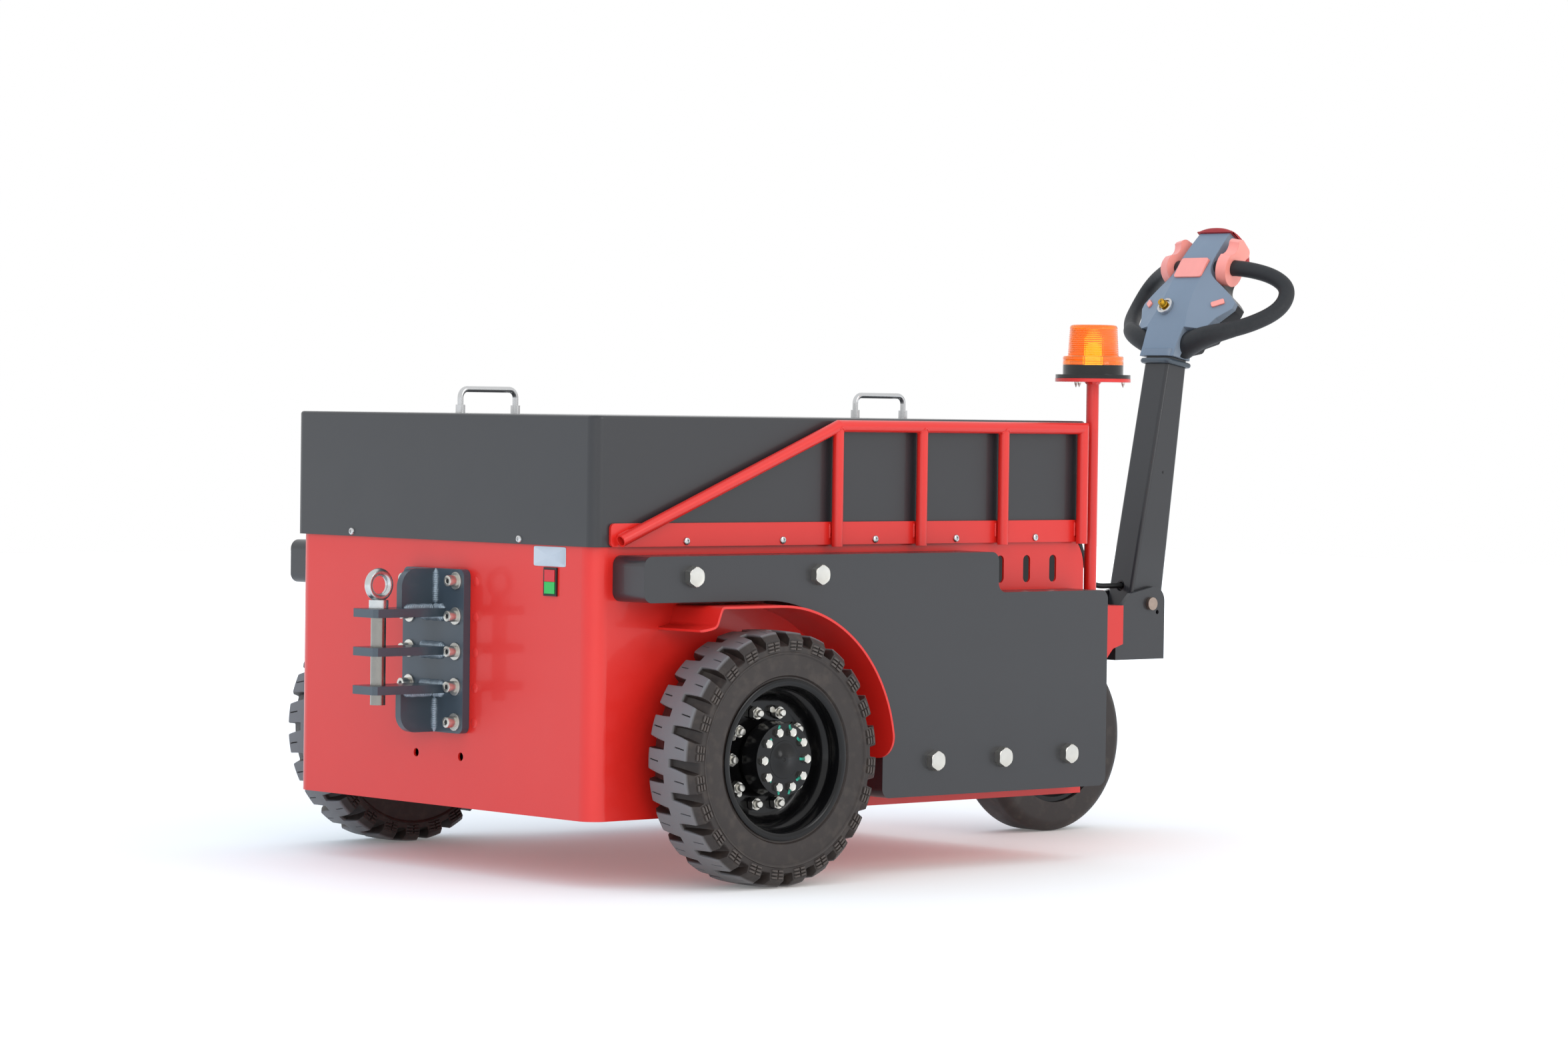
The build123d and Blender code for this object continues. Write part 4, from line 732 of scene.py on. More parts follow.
def socket_head(radius: float, height: float, key: float, deep: float, count: int = 36) -> np.ndarray:
    """Cap screw head with a rounded rim and a hexagon socket.

    Args:
        radius: Outside radius in millimetres.
        height: Height of the head.
        key: Width of the socket across flats.
        deep: Depth of the socket.
        count: Columns round the axis, a multiple of twelve.

    Returns:
        Grid of points in metres, base first.
    """
    turn = ring(count)
    sides = hexagon(key, turn)
    soft, ease = radius * 0.12, radius * 0.06
    plain = np.ones(count)
    rows = [(radius * plain, 0.0), (radius * plain, height - soft),
            ((radius - soft * 0.3) * plain, height - soft * 0.3), ((radius - soft) * plain, height),
            (sides + ease, height), (sides, height - ease), (sides, height - deep),
            (sides * 0.1, height - deep)]
    radii = np.stack([r for r, _ in rows]) * MM
    levels = np.array([z for _, z in rows])[:, None] * MM * plain
    return np.stack([radii * np.cos(turn), radii * np.sin(turn), levels], axis=-1)


def tube(path: np.ndarray, radius: np.ndarray, up: tuple[float, float, float], count: int = 20) -> np.ndarray:
    """Round section swept along a path.

    Args:
        path: Points of the middle line in metres.
        radius: Radius at each point in metres.
        up: Direction that is never along the path.
        count: Columns round the section.

    Returns:
        Grid of points in metres.
    """
    run = np.gradient(path, axis=0)
    run /= np.linalg.norm(run, axis=1, keepdims=True)
    across = np.cross(np.array(up, dtype=float), run)
    across /= np.linalg.norm(across, axis=1, keepdims=True)
    rise = np.cross(run, across)
    turn = ring(count)
    section = across[:, None] * np.cos(turn)[:, None] + rise[:, None] * np.sin(turn)[:, None]
    return path[:, None] + section * radius[:, None, None]


def weld_bead(start: tuple[float, float, float], end: tuple[float, float, float], width: float,
              up: tuple[float, float, float], pitch: float = 3.2) -> np.ndarray:
    """Rippled weld bead between two points, sunk by half into what it joins.

    Args:
        start: First point in millimetres.
        end: Last point in millimetres.
        width: Width of the bead.
        up: Direction that is never along the bead.
        pitch: Length of one ripple.

    Returns:
        Grid of points in metres.
    """
    first, last = np.array(start) * MM, np.array(end) * MM
    length = float(np.linalg.norm(last - first)) / MM
    steps = max(8, int(length / pitch * 6))
    share = np.linspace(0, 1, steps)
    wave = np.abs(np.sin(share * length / pitch * math.pi))
    slow = np.sin(share * length * 0.31 + first.sum() * 40)
    swell = np.minimum(1, np.minimum(share, 1 - share) * length / width * 1.6 + 0.25)
    radius = width / 2 * MM * swell * (0.86 + 0.16 * wave + 0.06 * slow)
    return tube(first + (last - first) * share[:, None], radius, up, 12)


def eased(corners: np.ndarray, bend: float) -> np.ndarray:
    """Rounds each corner of a closed outline by a quadratic arc between points on its two legs.

    Args:
        corners: Corners in order.
        bend: Length that the arc takes of each leg, at most 45 hundredths of it.

    Returns:
        Four points for each corner.
    """
    legs = [np.roll(corners, way, axis=0) - corners for way in (1, -1)]
    first, last = (corners + leg * np.minimum(bend / np.linalg.norm(leg, axis=1), 0.45)[:, None]
                   for leg in legs)
    share = np.array([0.0, 0.33, 0.67, 1.0])[:, None, None]
    arcs = first * (1 - share) ** 2 + corners * 2 * share * (1 - share) + last * share ** 2
    return arcs.transpose(1, 0, 2).reshape(-1, 2)


@dataclass
class LugTyre:
    """Solid tyre with two rows of lugs, half a pitch apart, on one side of the tug."""

    side: Side
    bead: float = 122.0
    bead_step: float = 4.0
    lugs: int = 24
    rib: float = 13.0
    chamfer: float = 12.0
    crown: float = 1.5
    shallow: float = 9.0
    deep: float = 25.0
    narrow: float = 11.0
    mouth: float = 20.0
    skew: float = 8.0
    skew_power: float = 1.4
    groove_ease: float = 2.4
    rib_ease: tuple[float, float] = (0.6, 1.6)
    tread_places: tuple[float, ...] = (12, 17, 19, 20, 25, 31, 37, 40, 41)
    sipe_middle: float = 30.0
    sipe_half: float = 10.5
    sipe_deep: float = 4.0
    mouth_deep: tuple[float, float] = (21.0, 24.0)
    shoulder: float = 25.0
    shoulder_drops: tuple[float, ...] = (13.5, 15, 15.6, 18.4, 19, 20.6, 21.2, 24, 24.6)
    wall_drops: tuple[float, ...] = (26.2, 26.8, 29.6, 30.2, 33, 34, 36.5, 38, 44, 52, 60)
    bars: tuple[tuple[float, float], ...] = ((15.6, 18.4), (21.2, 24), (26.8, 29.6))
    step_high: float = 3.0
    lip_band: tuple[float, float] = (34, 36.5)
    lip: float = 1.4
    wall_inset: float = 0.8
    bulge: float = 1.2
    bulge_from: float = 38.0
    seat: float = 16.0

    def on_bars(self, drop: np.ndarray) -> np.ndarray:
        """Share of the raised shoulder bars at each depth under the tread: one on a bar, nought beside it."""
        return np.any([(drop >= start) & (drop <= end) for start, end in self.bars], axis=0) * 1.0

    def half_rows(self, radius: float, half: float) -> np.ndarray:
        """Rows of one half of the section, from the middle of the tread to the bead.

        Args:
            radius: Outside radius in millimetres.
            half: Half the tyre's width.

        Returns:
            One row each of: place, radius, groove floor place, floor radius, sipe share, step share.
        """
        edge, rib = half - self.chamfer, self.rib / 2
        tread = np.array([0, rib * 0.6, rib, *(rib + ease for ease in self.rib_ease),
                          *self.tread_places, edge])
        floor = self.shallow + (self.deep - self.shallow) * (tread - rib).clip(0) / (half + self.crown - rib)
        floor *= np.clip((tread - rib) / self.rib_ease[-1], 0, 1)
        top = radius - self.crown * (tread / edge) ** 2
        sipes = (np.abs(tread - self.sipe_middle) < self.sipe_half) * 1.0
        rows = [tread, top, tread, np.minimum(top, radius - floor), sipes, tread * 0]
        slope = np.linspace(0, 1, 6)[1:]
        bevel = [edge + self.chamfer * slope, radius - self.crown - (self.chamfer - self.crown) * slope,
                 edge + (half - 1 - edge) * slope,
                 radius - self.mouth_deep[0] - np.ptp(self.mouth_deep) * slope, slope * 0, slope * 0]
        drop = np.array(self.shoulder_drops)
        share = drop / self.shoulder
        wall = [half + drop * 0, radius - drop, half - 1 + share,
                radius - np.maximum(drop, self.mouth_deep[1] + share), drop * 0, self.on_bars(drop)]
        low = np.array([*self.wall_drops, radius - self.bead - self.seat])
        swell = np.sin(np.clip((low - self.bulge_from) / (low[-1] - self.bulge_from), 0, 1) * math.pi)
        lip = (low >= self.lip_band[0]) & (low <= self.lip_band[1])
        out = half + lip * self.lip + self.bulge * swell - (low > self.lip_band[0]) * self.wall_inset
        side = [out, radius - low, out, radius - low, low * 0, self.on_bars(low)]
        inset = half - np.array([0.6, self.bead_step, self.bead_step + 0.4, self.bead_step + 1])
        rise = self.bead + np.array([14.5, 12, 6, 0.3])
        foot = [inset, rise, inset, rise, inset * 0, inset * 0]
        return np.hstack([np.array(part) for part in (rows, bevel, wall, side, foot)])

    def columns(self) -> tuple[np.ndarray, ...]:
        """Columns of one lug pitch.

        Returns:
            Share of half the groove, run past its edge in millimetres, share along the lug, offset in
            millimetres, depth share, sipe share and step share.
        """
        groove = np.array([-1, -1, -1, -0.75, 0, 0.75, 1, 1, 1] + [1] * 12, dtype=float)
        past = np.array([-1, -0.5, 0, 0, 0, 0, 0, 0.5, 1] + [1] * 12) * self.groove_ease
        along = np.array([0.0] * 9 + [0.1, 0.2, 0.32, 0.44, 0.5, 0.5, 0.5, 0.5, 0.56, 0.68, 0.8, 0.9])
        offset = np.array([0.0] * 13 + [-1.1, -0.5, 0.5, 1.1] + [0.0] * 4)
        depth = np.array([0, 0.06, 0.94, 1, 1, 1, 0.94, 0.06, 0] + [0] * 12)
        sipe = np.array([0.0] * 14 + [1, 1] + [0.0] * 5)
        step = np.array([0.0] * 9 + [1, 1, 1, 1, 0, 0, 0, 0, 1, 1, 1, 1])
        return groove, past, along, offset, depth, sipe, step

    def build(self) -> None:
        """Makes the tyre and lets it stand for the CAD node."""
        node = "rear_tyre_" + self.side.tag
        low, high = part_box(node)
        middle, size = (low + high) / 2, (high - low)
        radius, half = size.z / 2 / MM, size.y / 2 / MM
        part = self.half_rows(radius, half)
        rows = np.hstack([part[:, :0:-1] * np.array([[-1], [1], [-1], [1], [1], [1]]), part])
        place, top, floor_a, floor_r, sipe_row, step_row = rows[:, :, None]
        groove, past, along, offset, depth, sipe, step = self.columns()
        fall = ((np.abs(place) - self.rib / 2) / (half - self.rib / 2)).clip(0, 1)
        width = (self.narrow + (self.mouth - self.narrow) * fall) / 2
        pitch = 2 * math.pi * radius / self.lugs
        spot = groove * width + past + along * (pitch - 2 * (width + self.groove_ease)) + offset
        lean = self.skew * fall ** self.skew_power * np.sign(place)
        half_turn = math.pi / self.lugs * np.clip(0.5 - place / self.rib, 0, 1)
        angle = ((spot + lean) / radius + half_turn)[:, None, :] + ring(self.lugs)[None, :, None]
        out = place + (floor_a - place) * depth + np.sign(place) * self.step_high * step_row * step
        reach = top + (floor_r - top) * depth - self.sipe_deep * sipe_row * sipe
        out = np.repeat(out[:, None, :], self.lugs, axis=1).reshape(len(place), -1) * MM
        reach = np.repeat(reach[:, None, :], self.lugs, axis=1).reshape(len(place), -1) * MM
        angle = angle.reshape(len(place), -1)
        grid = np.stack([middle.x + reach * np.cos(angle), middle.y + self.side.value * out,
                         middle.z + reach * np.sin(angle)], axis=-1)
        finish = Tread(**vars(replace(RUBBER, name="scuffed_tread")), axis_x=middle.x, axis_z=middle.z,
                       radius=size.z / 2, wall=max(abs(low.y), abs(high.y)))
        surface = Surface().add_grid(grid, closed=True)
        surface.piece("lug_tyre_" + self.side.tag, finish, "wheel_" + self.side.tag, (node,), sharp=40)


@dataclass
class WheelFittings:
    """Pressed rim, stud nuts, cap bolts, torque marks and the cap's centre on a rear wheel."""

    side: Side
    count: int = 10
    stud_circle: float = 77.0
    stud: float = 6.2
    stud_long: float = 21.0
    nut_flats: float = 19.0
    nut_high: float = 12.4
    nut_lift: float = 1.5
    nut_turn: float = 1.7
    disc_depth: float = 56.0
    cap_circle: float = 46.0
    cap_inset: float = 6.0
    cap_bolt: float = 13.0
    cap_bolt_high: float = 6.6
    rim_bolt: float = 10.0
    rim_bolt_high: float = 6.5
    lip: float = 0.4
    bend: float = 4.0
    well: float = 102.0
    seat_drop: float = 9.0
    wall_drop: float = 15.0

    def frame(self, radius: float, degrees: float, inset: float, turn: float = 0.0) -> np.ndarray:
        """Frame on the wheel with its Z outboard.

        Args:
            radius: Distance from the axle in millimetres.
            degrees: Angle round the axle.
            inset: Distance in from the tyre's outer face.
            turn: Turn about the outboard direction.

        Returns:
            Four-by-four matrix in metres.
        """
        node = "rear_tyre_" + self.side.tag
        middle = sum(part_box(node), Vector()) / 2 / MM
        face = self.side.face(node) - self.side.value * inset
        spot = math.radians(degrees)
        return place_at((middle.x + radius * math.cos(spot), face, middle.z + radius * math.sin(spot)),
                        (0, self.side.value, 0), turn)

    def rim(self, body: str) -> None:
        """Makes the pressed rim with eased bends and lets it stand for the CAD node.

        Args:
            body: Body that the rim rides on.
        """
        node = "rear_rim_" + self.side.tag
        low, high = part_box(node)
        wide = (high.y - low.y) / MM + self.lip
        flange = (high.z - low.z) / 2 / MM
        seat, inside = flange - self.seat_drop, flange - self.wall_drop
        well, disc = self.well, self.disc_depth
        outline = [(self.lip, flange), (3.8, flange), (3.8, seat), (wide, seat), (wide, inside),
                   (88, well - 2), (70, well - 2), (70, 52), (disc, 52), (disc, 93), (52, 98.5), (46, well),
                   (38, well + 2), (31, inside - 7), (25, inside), (15, inside), (3, inside + 2.4),
                   (self.lip, seat)]
        turned = revolved(eased(np.array(outline), self.bend)[:, ::-1] * (1, -1), 120)
        rim = Surface().add_grid(moved(turned, self.frame(0, 0, 0)), closed=True)
        rim.piece("pressed_rim_" + self.side.tag, ENAMEL, body, (node,))

    def build(self) -> None:
        """Makes the rim, the zinc nuts and studs, the cap bolts, their marks and the centre."""
        tag, body = "_" + self.side.tag, "wheel_" + self.side.tag
        self.rim(body)
        steps = [i * 360 / self.count for i in range(self.count)]
        studs = [self.frame(self.stud_circle, a, self.disc_depth, a * self.nut_turn) for a in steps]
        tip = [(self.stud, 2), (self.stud, self.stud_long - 1.4), (self.stud - 1.2, self.stud_long),
               (2.5, self.stud_long + 0.3)]
        nuts = Surface().add_copies(hex_head(self.nut_flats, self.nut_high, self.nut_lift), studs)
        nuts.add_copies(revolved(tip, 24), studs).piece("stud_nuts" + tag, ZINC, body)
        between = [self.frame(self.stud_circle + 2, a + 90 / self.count, self.disc_depth) for a in steps[::2]]
        bolts = Surface().add_copies(hex_head(self.rim_bolt, self.rim_bolt_high), between)
        bolts.piece("rim_bolts" + tag, ZINC, body)
        caps = [self.frame(self.cap_circle, a, self.cap_inset, a) for a in steps]
        screws = Surface().add_copies(hex_head(self.cap_bolt, self.cap_bolt_high), caps)
        screws.piece("cap_bolts" + tag, ZINC, body)
        boss = revolved([(31, -0.2), (30.4, 0.5), (12, 0.5), (11.4, 0.9), (3.2, 0.9), (2.6, 0.2), (1, 0.1)])
        Surface().add_copies(boss, [self.frame(0, 0, self.cap_inset)]).piece("cap_centre" + tag, ENAMEL, body)
        patch = np.array([[(5.5, -2.2, 0.15), (5.5, 2.2, 0.15)], [(9, -1.8, 0.35), (9, 2.4, 0.35)],
                          [(12.6, -2.4, 0.3), (12.6, 1.6, 0.3)], [(13.3, -1.9, -1.5), (13.3, 1.2, -1.5)],
                          [(13.7, -1.2, -8), (13.7, 0.6, -8)]]) * MM
        marks = Surface()
        for a in steps:
            aimed = moved(patch, place_at((0, 0, 0), (0, 0, 1), a * self.side.value))
            marks.add_grid(moved(aimed, self.frame(self.cap_circle, a, self.cap_inset)), around=False)
        marks.piece("torque_marks" + tag, MARKER, body)


@dataclass
class Ballast:
    """Hexagon bolts that hold one ballast stack."""

    side: Side
    flats: float = 30.2
    high: float = 13.2
    arm_places: tuple[float, float] = (140.0, 411.0)
    arm_level: float = 502.0
    foot_places: tuple[float, float, float] = (677.0, 835.0, 993.0)
    foot_level: float = 187.0
    seat_inset: float = 12.5

    def build(self) -> None:
        """Makes the bolt heads with their turned faces."""
        rear, out = rear_face(), self.side.value
        face = self.side.face("ballast_" + self.side.tag) - out * self.seat_inset
        spots = [(p, self.arm_level) for p in self.arm_places]
        spots += [(p, self.foot_level) for p in self.foot_places]
        heads = Surface().add_copies(hex_head(self.flats, self.high),
                                     [place_at((rear + p, face, z), (0, out, 0)) for p, z in spots])
        heads.piece("ballast_bolts_" + self.side.tag, ZINC, "chassis")


@dataclass
class Hitch:
    """Washers, cap screws and weld beads of the tow hitch."""

    plate: float = 14.2
    bolt_side: float = 62.0
    levels: tuple[float, ...] = (251.0, 309.0, 367.0, 425.0, 483.0)
    head: float = 9.15
    head_high: float = 16.6
    socket: float = 1.3
    washer: float = 14.6
    washer_thick: float = 3.2
    key: float = 8.0
    tongue_levels: tuple[float, float, float] = (304.0, 367.0, 430.0)
    tongue_half: float = 33.0
    tongue_thick: float = 14.0
    gusset_half: float = 7.0
    gusset_reach: float = 70.0
    gusset_spans: tuple[tuple[float, float], ...] = ((437.0, 502.0), (297.0, 232.0))
    gusset_gap: float = 0.08
    toe: float = 3.0
    heel: float = 4.0
    bead: float = 15.0

    def build(self) -> None:
        """Makes the fasteners and the welds."""
        face = rear_face() - self.plate
        spots = [(side * self.bolt_side, z) for side in (-1, 1) for z in self.levels]
        washer = revolved([(self.washer, 0), (self.washer, self.washer_thick - 0.5),
                           (self.washer - 0.5, self.washer_thick), (self.head, self.washer_thick)])
        Surface().add_copies(washer, [place_at((face, y, z), (-1, 0, 0)) for y, z in spots]).piece(
            "hitch_washers", ZINC, "chassis")
        heads = [place_at((face - self.washer_thick + 0.2, y, z), (-1, 0, 0), y + z) for y, z in spots]
        Surface().add_copies(socket_head(self.head, self.head_high, self.key, self.socket), heads).piece(
            "hitch_screws", ZINC, "chassis")
        # Black discs on the socket floors: painted shade in the hexagon sockets
        floor, wide = self.head_high - self.socket, self.key / 2
        disc = revolved([(wide * 1.12, floor - 0.1), (wide * 1.1, floor + 0.1), (wide * 0.9, floor + 0.15),
                         (0.2, floor + 0.12)], 6)
        Surface().add_copies(disc, heads).piece("hitch_socket_shade", BLACK, "chassis")
        ahead, up, small = (1, 0, 0), (0, 0, 1), self.bead - 1
        runs = [((face, -self.tongue_half, z + edge * self.tongue_thick / 2),
                 (face, self.tongue_half, z + edge * self.tongue_thick / 2), self.bead, ahead)
                for z in self.tongue_levels for edge in (-1, 1)]
        for foot, tip in self.gusset_spans:
            for y in (-self.gusset_half, self.gusset_half):
                runs += [((face, y, foot + (tip - foot) * self.gusset_gap), (face, y, tip), small, ahead),
                         ((face - self.toe, y, foot), (face - self.gusset_reach + self.heel, y, foot),
                          small, up)]
        # The beads take the light weld colour, a painted highlight
        Surface().add_welds(runs).piece("hitch_welds", WELD_PAINTED_HIGHLIGHT, "chassis", sharp=80)


@dataclass
class BodyTrim:
    """Blank plate, plug welds and small screws on the shell and the cover."""

    plate_middle: tuple[float, float] = (-288.0, 530.0)
    plate_size: tuple[float, float] = (82.0, 32.0)
    plate_thick: float = 0.8
    plug_place: float = -95.0
    plug_levels: tuple[float, ...] = (482.0, 424.0, 366.0, 308.0, 251.0)
    plug: float = 9.0
    cover_screws: tuple[float, float] = (240.0, -213.0)
    cover_screw_level: float = 556.0
    cover_lap: float = 4.0
    bar_places: tuple[float, ...] = (186.0, 394.0, 601.0, 788.0, 977.0)
    bar_level: float = 556.5
    bar_face: float = 407.2
    corner_power: float = 0.12

    def build(self) -> None:
        """Makes the plate, the plug welds and the screws; the plate's outline is a superellipse."""
        rear = rear_face()
        half = np.array(self.plate_size) / 2
        turn = ring(64)
        blunt = [np.sign(wave) * np.abs(wave) ** self.corner_power for wave in (np.cos(turn), np.sin(turn))]
        rows = [(1.0, 0.0), (1.0, 0.7), (0.985, 1.0), (0.94, 1.0), (0.925, 0.8), (0.02, 0.8)]
        grid = np.stack([
            np.stack([rear - lift * self.plate_thick + 0 * turn,
                      self.plate_middle[0] + blunt[0] * (half[0] - (1 - size) * half[1]) * (size > 0.5),
                      self.plate_middle[1] + blunt[1] * half[1] * size], axis=-1)
            for size, lift in rows]) * MM
        Surface().add_grid(grid, caps=True).piece("blank_plate", ANODISED, "chassis")
        dome = ((1, -0.3), (0.8, 0.5), (0.45, 0.9), (0.1, 1))
        plug = revolved([(self.plug * wide, lift) for wide, lift in dome], 32)
        plugs = [place_at((rear, self.plug_place, z), (-1, 0, 0)) for z in self.plug_levels]
        Surface().add_copies(plug, plugs).piece("plug_welds", RED, "chassis")
        button = revolved([(6.6, -0.2), (6.6, 0.6), (5.6, 2.6), (3.4, 3.5), (2.7, 3.5), (2.5, 1.6),
                           (0.3, 1.5)], 30)
        spots = [place_at((rear - self.cover_lap, y, self.cover_screw_level), (-1, 0, 0))
                 for y in self.cover_screws]
        spots += [place_at((rear + p, side * self.bar_face, self.bar_level), (0, side, 0))
                  for p in self.bar_places for side in (-1, 1)]
        Surface().add_copies(button, spots).piece("trim_screws", STAINLESS, "chassis")


@dataclass
class Rail:
    """Weld beads of one guard rail."""

    side: Side
    posts: tuple[float, ...] = (1082.0, 890.3, 698.6, 506.9)
    line: float = 416.2
    tube_radius: float = 10.0
    top: float = 745.0
    bar_low: float = 551.0
    bar_top: float = 583.0
    bar_face: float = 407.2
    foot: float = 41.0
    foot_level: float = 558.0
    foot_beads: tuple[float, float] = (34.0, 26.0)
    bead: float = 5.0
    post_lap: float = 1.2
    foot_lap: float = 1.5
    saddle_lap: float = 0.8
    post_toe: float = 6.0
    foot_toe: float = 4.0

    def build(self) -> None:
        """Makes the beads beside the uprights, under the top tube and along the sloping tube's foot."""
        rear, sign = rear_face(), self.side.value
        face, side = sign * self.bar_face, (0, 1, 0)
        edges = [rear + place + edge * (self.tube_radius - self.post_lap) for place in self.posts
                 for edge in (-1, 1)]
        runs = [((x, face, self.bar_low + self.post_toe), (x, face, self.bar_top), self.bead, side)
                for x in edges]
        slope = np.array([self.posts[-1] - self.foot, self.top - self.foot_level])
        slope /= np.linalg.norm(slope)
        across = np.array([-slope[1], slope[0]])
        toe, rim = np.array([self.foot + self.foot_toe, self.foot_level]), self.tube_radius - self.foot_lap
        for edge, long in zip((-1, 1), self.foot_beads):
            first = toe + across * edge * rim
            last = first + slope * long
            runs.append(((rear + first[0], face, first[1]), (rear + last[0], face, last[1]), self.bead, side))
        welds = Surface().add_welds(runs)
        collar, section = ring(40), ring(10)
        around = self.tube_radius - self.saddle_lap
        thick = self.bead / 2 * (0.8 + 0.2 * np.sin(collar * 8)) * MM
        saddle = self.top - np.sqrt(np.maximum(0, 1 - np.sin(collar) ** 2 * 0.92)) * self.tube_radius
        out = np.stack([np.cos(collar), sign * np.sin(collar), 0 * collar], axis=-1)
        for place in self.posts[1:]:
            line = np.stack([rear + place + around * np.cos(collar),
                             sign * (self.line + around * np.sin(collar)), saddle], axis=-1) * MM
            grid = (line[None] + out[None] * (np.cos(section)[:, None] * thick)[..., None]
                    + np.array([0, 0, 1]) * (np.sin(section)[:, None] * thick)[..., None])
            welds.add_grid(grid, closed=True)
        welds.piece("rail_welds_" + self.side.tag, RED, "chassis", sharp=80)


@dataclass
class Beacon:
    """Ringed lens of the beacon, and the screw points and post weld under its seat."""

    place: float = 1143.0
    line: float = -378.0
    disc_under: float = 826.5
    circle: float = 53.0
    post: float = 11.0
    lens_foot: float = 45.0
    draft: float = 3.0
    step: float = 15.0
    crown: float = 7.0
    wall: float = 3.0
    rings: int = 13
    ring_deep: float = 0.9
    first_screw: float = -41.7
    ripple: float = 0.04
    ripples: int = 11

    @staticmethod
    def lens_finish() -> Lens:
        """Finish of the lens, centred on its axis."""
        middle = sum(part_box("beacon_lens"), Vector()) / 2
        return Lens("amber_lens", "F7922E", "amber", 0.1, grain_deep_mm=0.12, axis_x=middle.x,
                    axis_y=middle.y)

    def lens(self) -> None:
        """Makes the ringed lens shell and lets it stand for the CAD node."""
        low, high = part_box("beacon_lens")
        middle = (low + high) / 2
        tall, foot = (high.z - low.z) / MM, (high.x - low.x) / 2 / MM
        climb = np.linspace(0, 1, self.rings * 6 + 1)
        ribs = 0.5 * self.ring_deep * (np.cos(climb * self.rings * 2 * math.pi) - 1)
        cone = [(self.lens_foot - self.draft * s + rib, self.step + 0.6 + (tall - self.crown - self.step) * s)
                for s, rib in zip(climb, ribs)]
        top = self.lens_foot - self.draft
        skirt = [(foot, 0.0), (foot, self.step * 0.35), (foot - 0.6, self.step * 0.42),
                 (foot, self.step * 0.5), (foot, self.step - 1.6), (foot - 1.4, self.step),
                 (self.lens_foot + 0.8, self.step)]
        dome = [(top - 0.8, tall - self.crown * 0.45), (top - 2.6, tall - 1.0), (top - 5.5, tall),
                (0.05, tall)]
        inside = [(0.05, tall - self.wall), (top - self.crown, tall - self.wall),
                  (top - self.wall - 0.8, tall - self.crown), (self.lens_foot - self.wall, 0.0)]
        turned = revolved(skirt + cone + dome + inside, 96) + np.array((middle.x, middle.y, low.z))
        Surface().add_grid(turned, closed=True).piece(
            "lens_shell", self.lens_finish(), "chassis", ("beacon_lens",))

    def build(self) -> None:
        """Makes the lens, the screw points under the disc and the weld round the post."""
        self.lens()
        place = rear_face() + self.place
        spots = [place_at((place + self.circle * math.cos(a), self.line + self.circle * math.sin(a),
                           self.disc_under), (0, 0, -1)) for a in ring(3, self.first_screw)]
        point = revolved([(3.4, -0.2), (3.2, 2.5), (2.6, 3), (3.0, 3.6), (2.2, 4.4), (2.5, 5), (1.6, 6),
                          (1.8, 6.6), (0.3, 9.4)], 20)
        Surface().add_copies(point, spots).piece("beacon_screws", ZINC, "chassis")
        weld = revolved([(self.post - 1, -4.5), (self.post + 1, -3.4), (self.post + 3, -1),
                         (self.post + 3.6, 0.4)], 48)
        weld[:, :, :2] *= (1 + self.ripple * np.sin(ring(48) * self.ripples))[None, :, None]
        Surface().add_copies(weld, [place_at((place, self.line, self.disc_under), (0, 0, 1))]).piece(
            "beacon_weld", RED, "chassis", sharp=70)


@dataclass
class ControlCable:
    """Free control cable from its gland on the steering column to the grommet in the tiller arm."""

    radius: float = 5.0
    arm_inset: float = 10.0
    route: tuple[tuple[float, float], ...] = ((1400, 539), (1400, 553), (1400, 566), (1406, 577), (1425, 578),
                                              (1452, 578), (1472, 572), (1488, 550), (1515, 486), (1530, 455),
                                              (1548, 449), (1580, 449), (1600, 449), (1623, 449))

    def middle_line(self) -> np.ndarray:
        """Points of the cable's route, read from a spline.

        Returns:
            Points in metres.
        """
        rear = rear_face()
        curve = bpy.data.curves.new("cable_route", "CURVE")
        curve.dimensions = "3D"
        curve.resolution_u = 12
        spline = curve.splines.new("NURBS")
        spline.points.add(len(self.route) - 1)
        for point, (along, level) in zip(spline.points, self.route):
            point.co = ((rear + along) * MM, 0, level * MM, 1)
        spline.order_u = 3
        spline.use_endpoint_u = True
        holder = bpy.data.objects.new("cable_route", curve)
        mesh = bpy.data.meshes.new_from_object(holder)
        points = np.empty(len(mesh.vertices) * 3)
        mesh.vertices.foreach_get("co", points)
        bpy.data.objects.remove(holder)
        bpy.data.curves.remove(curve)
        bpy.data.meshes.remove(mesh)
        return points.reshape(-1, 3)

    def build(self) -> None:
        """Makes the cable, its gland and its grommet."""
        path = self.middle_line()
        cable = Surface().add_grid(tube(path, np.full(len(path), self.radius * MM), (0, 1, 0)), caps=True)
        made = cable.piece("control_cable_sheath", SHEATH, "steering", ("control_cable",), 60,
                           ("tiller", Vector(path[len(path) // 2]), Vector(path[-1])))
        start, end = Vector(path[0]), Vector(path[-1])
        gland = revolved([(10, 9), (10, 13), (9, 14), (8.4, 19), (7.4, 20), (7, 27), (6.2, 29.5),
                          (5.1, 30)], 32)
        seat = place_at(tuple(start / MM), (0, 0, 1))
        Surface().add_copies(gland, [seat]).piece("cable_gland", BLACK, "steering")
        grommet = revolved([(10.6, -2), (10.6, 1.6), (9.6, 3), (7.4, 3.6), (6, 2.4), (5.1, 1)], 32)
        hole = place_at(tuple(end / MM - Vector((self.arm_inset, 0, 0))), (-1, 0, 0))
        Surface().add_copies(grommet, [hole]).piece("cable_grommet", BLACK, "tiller")


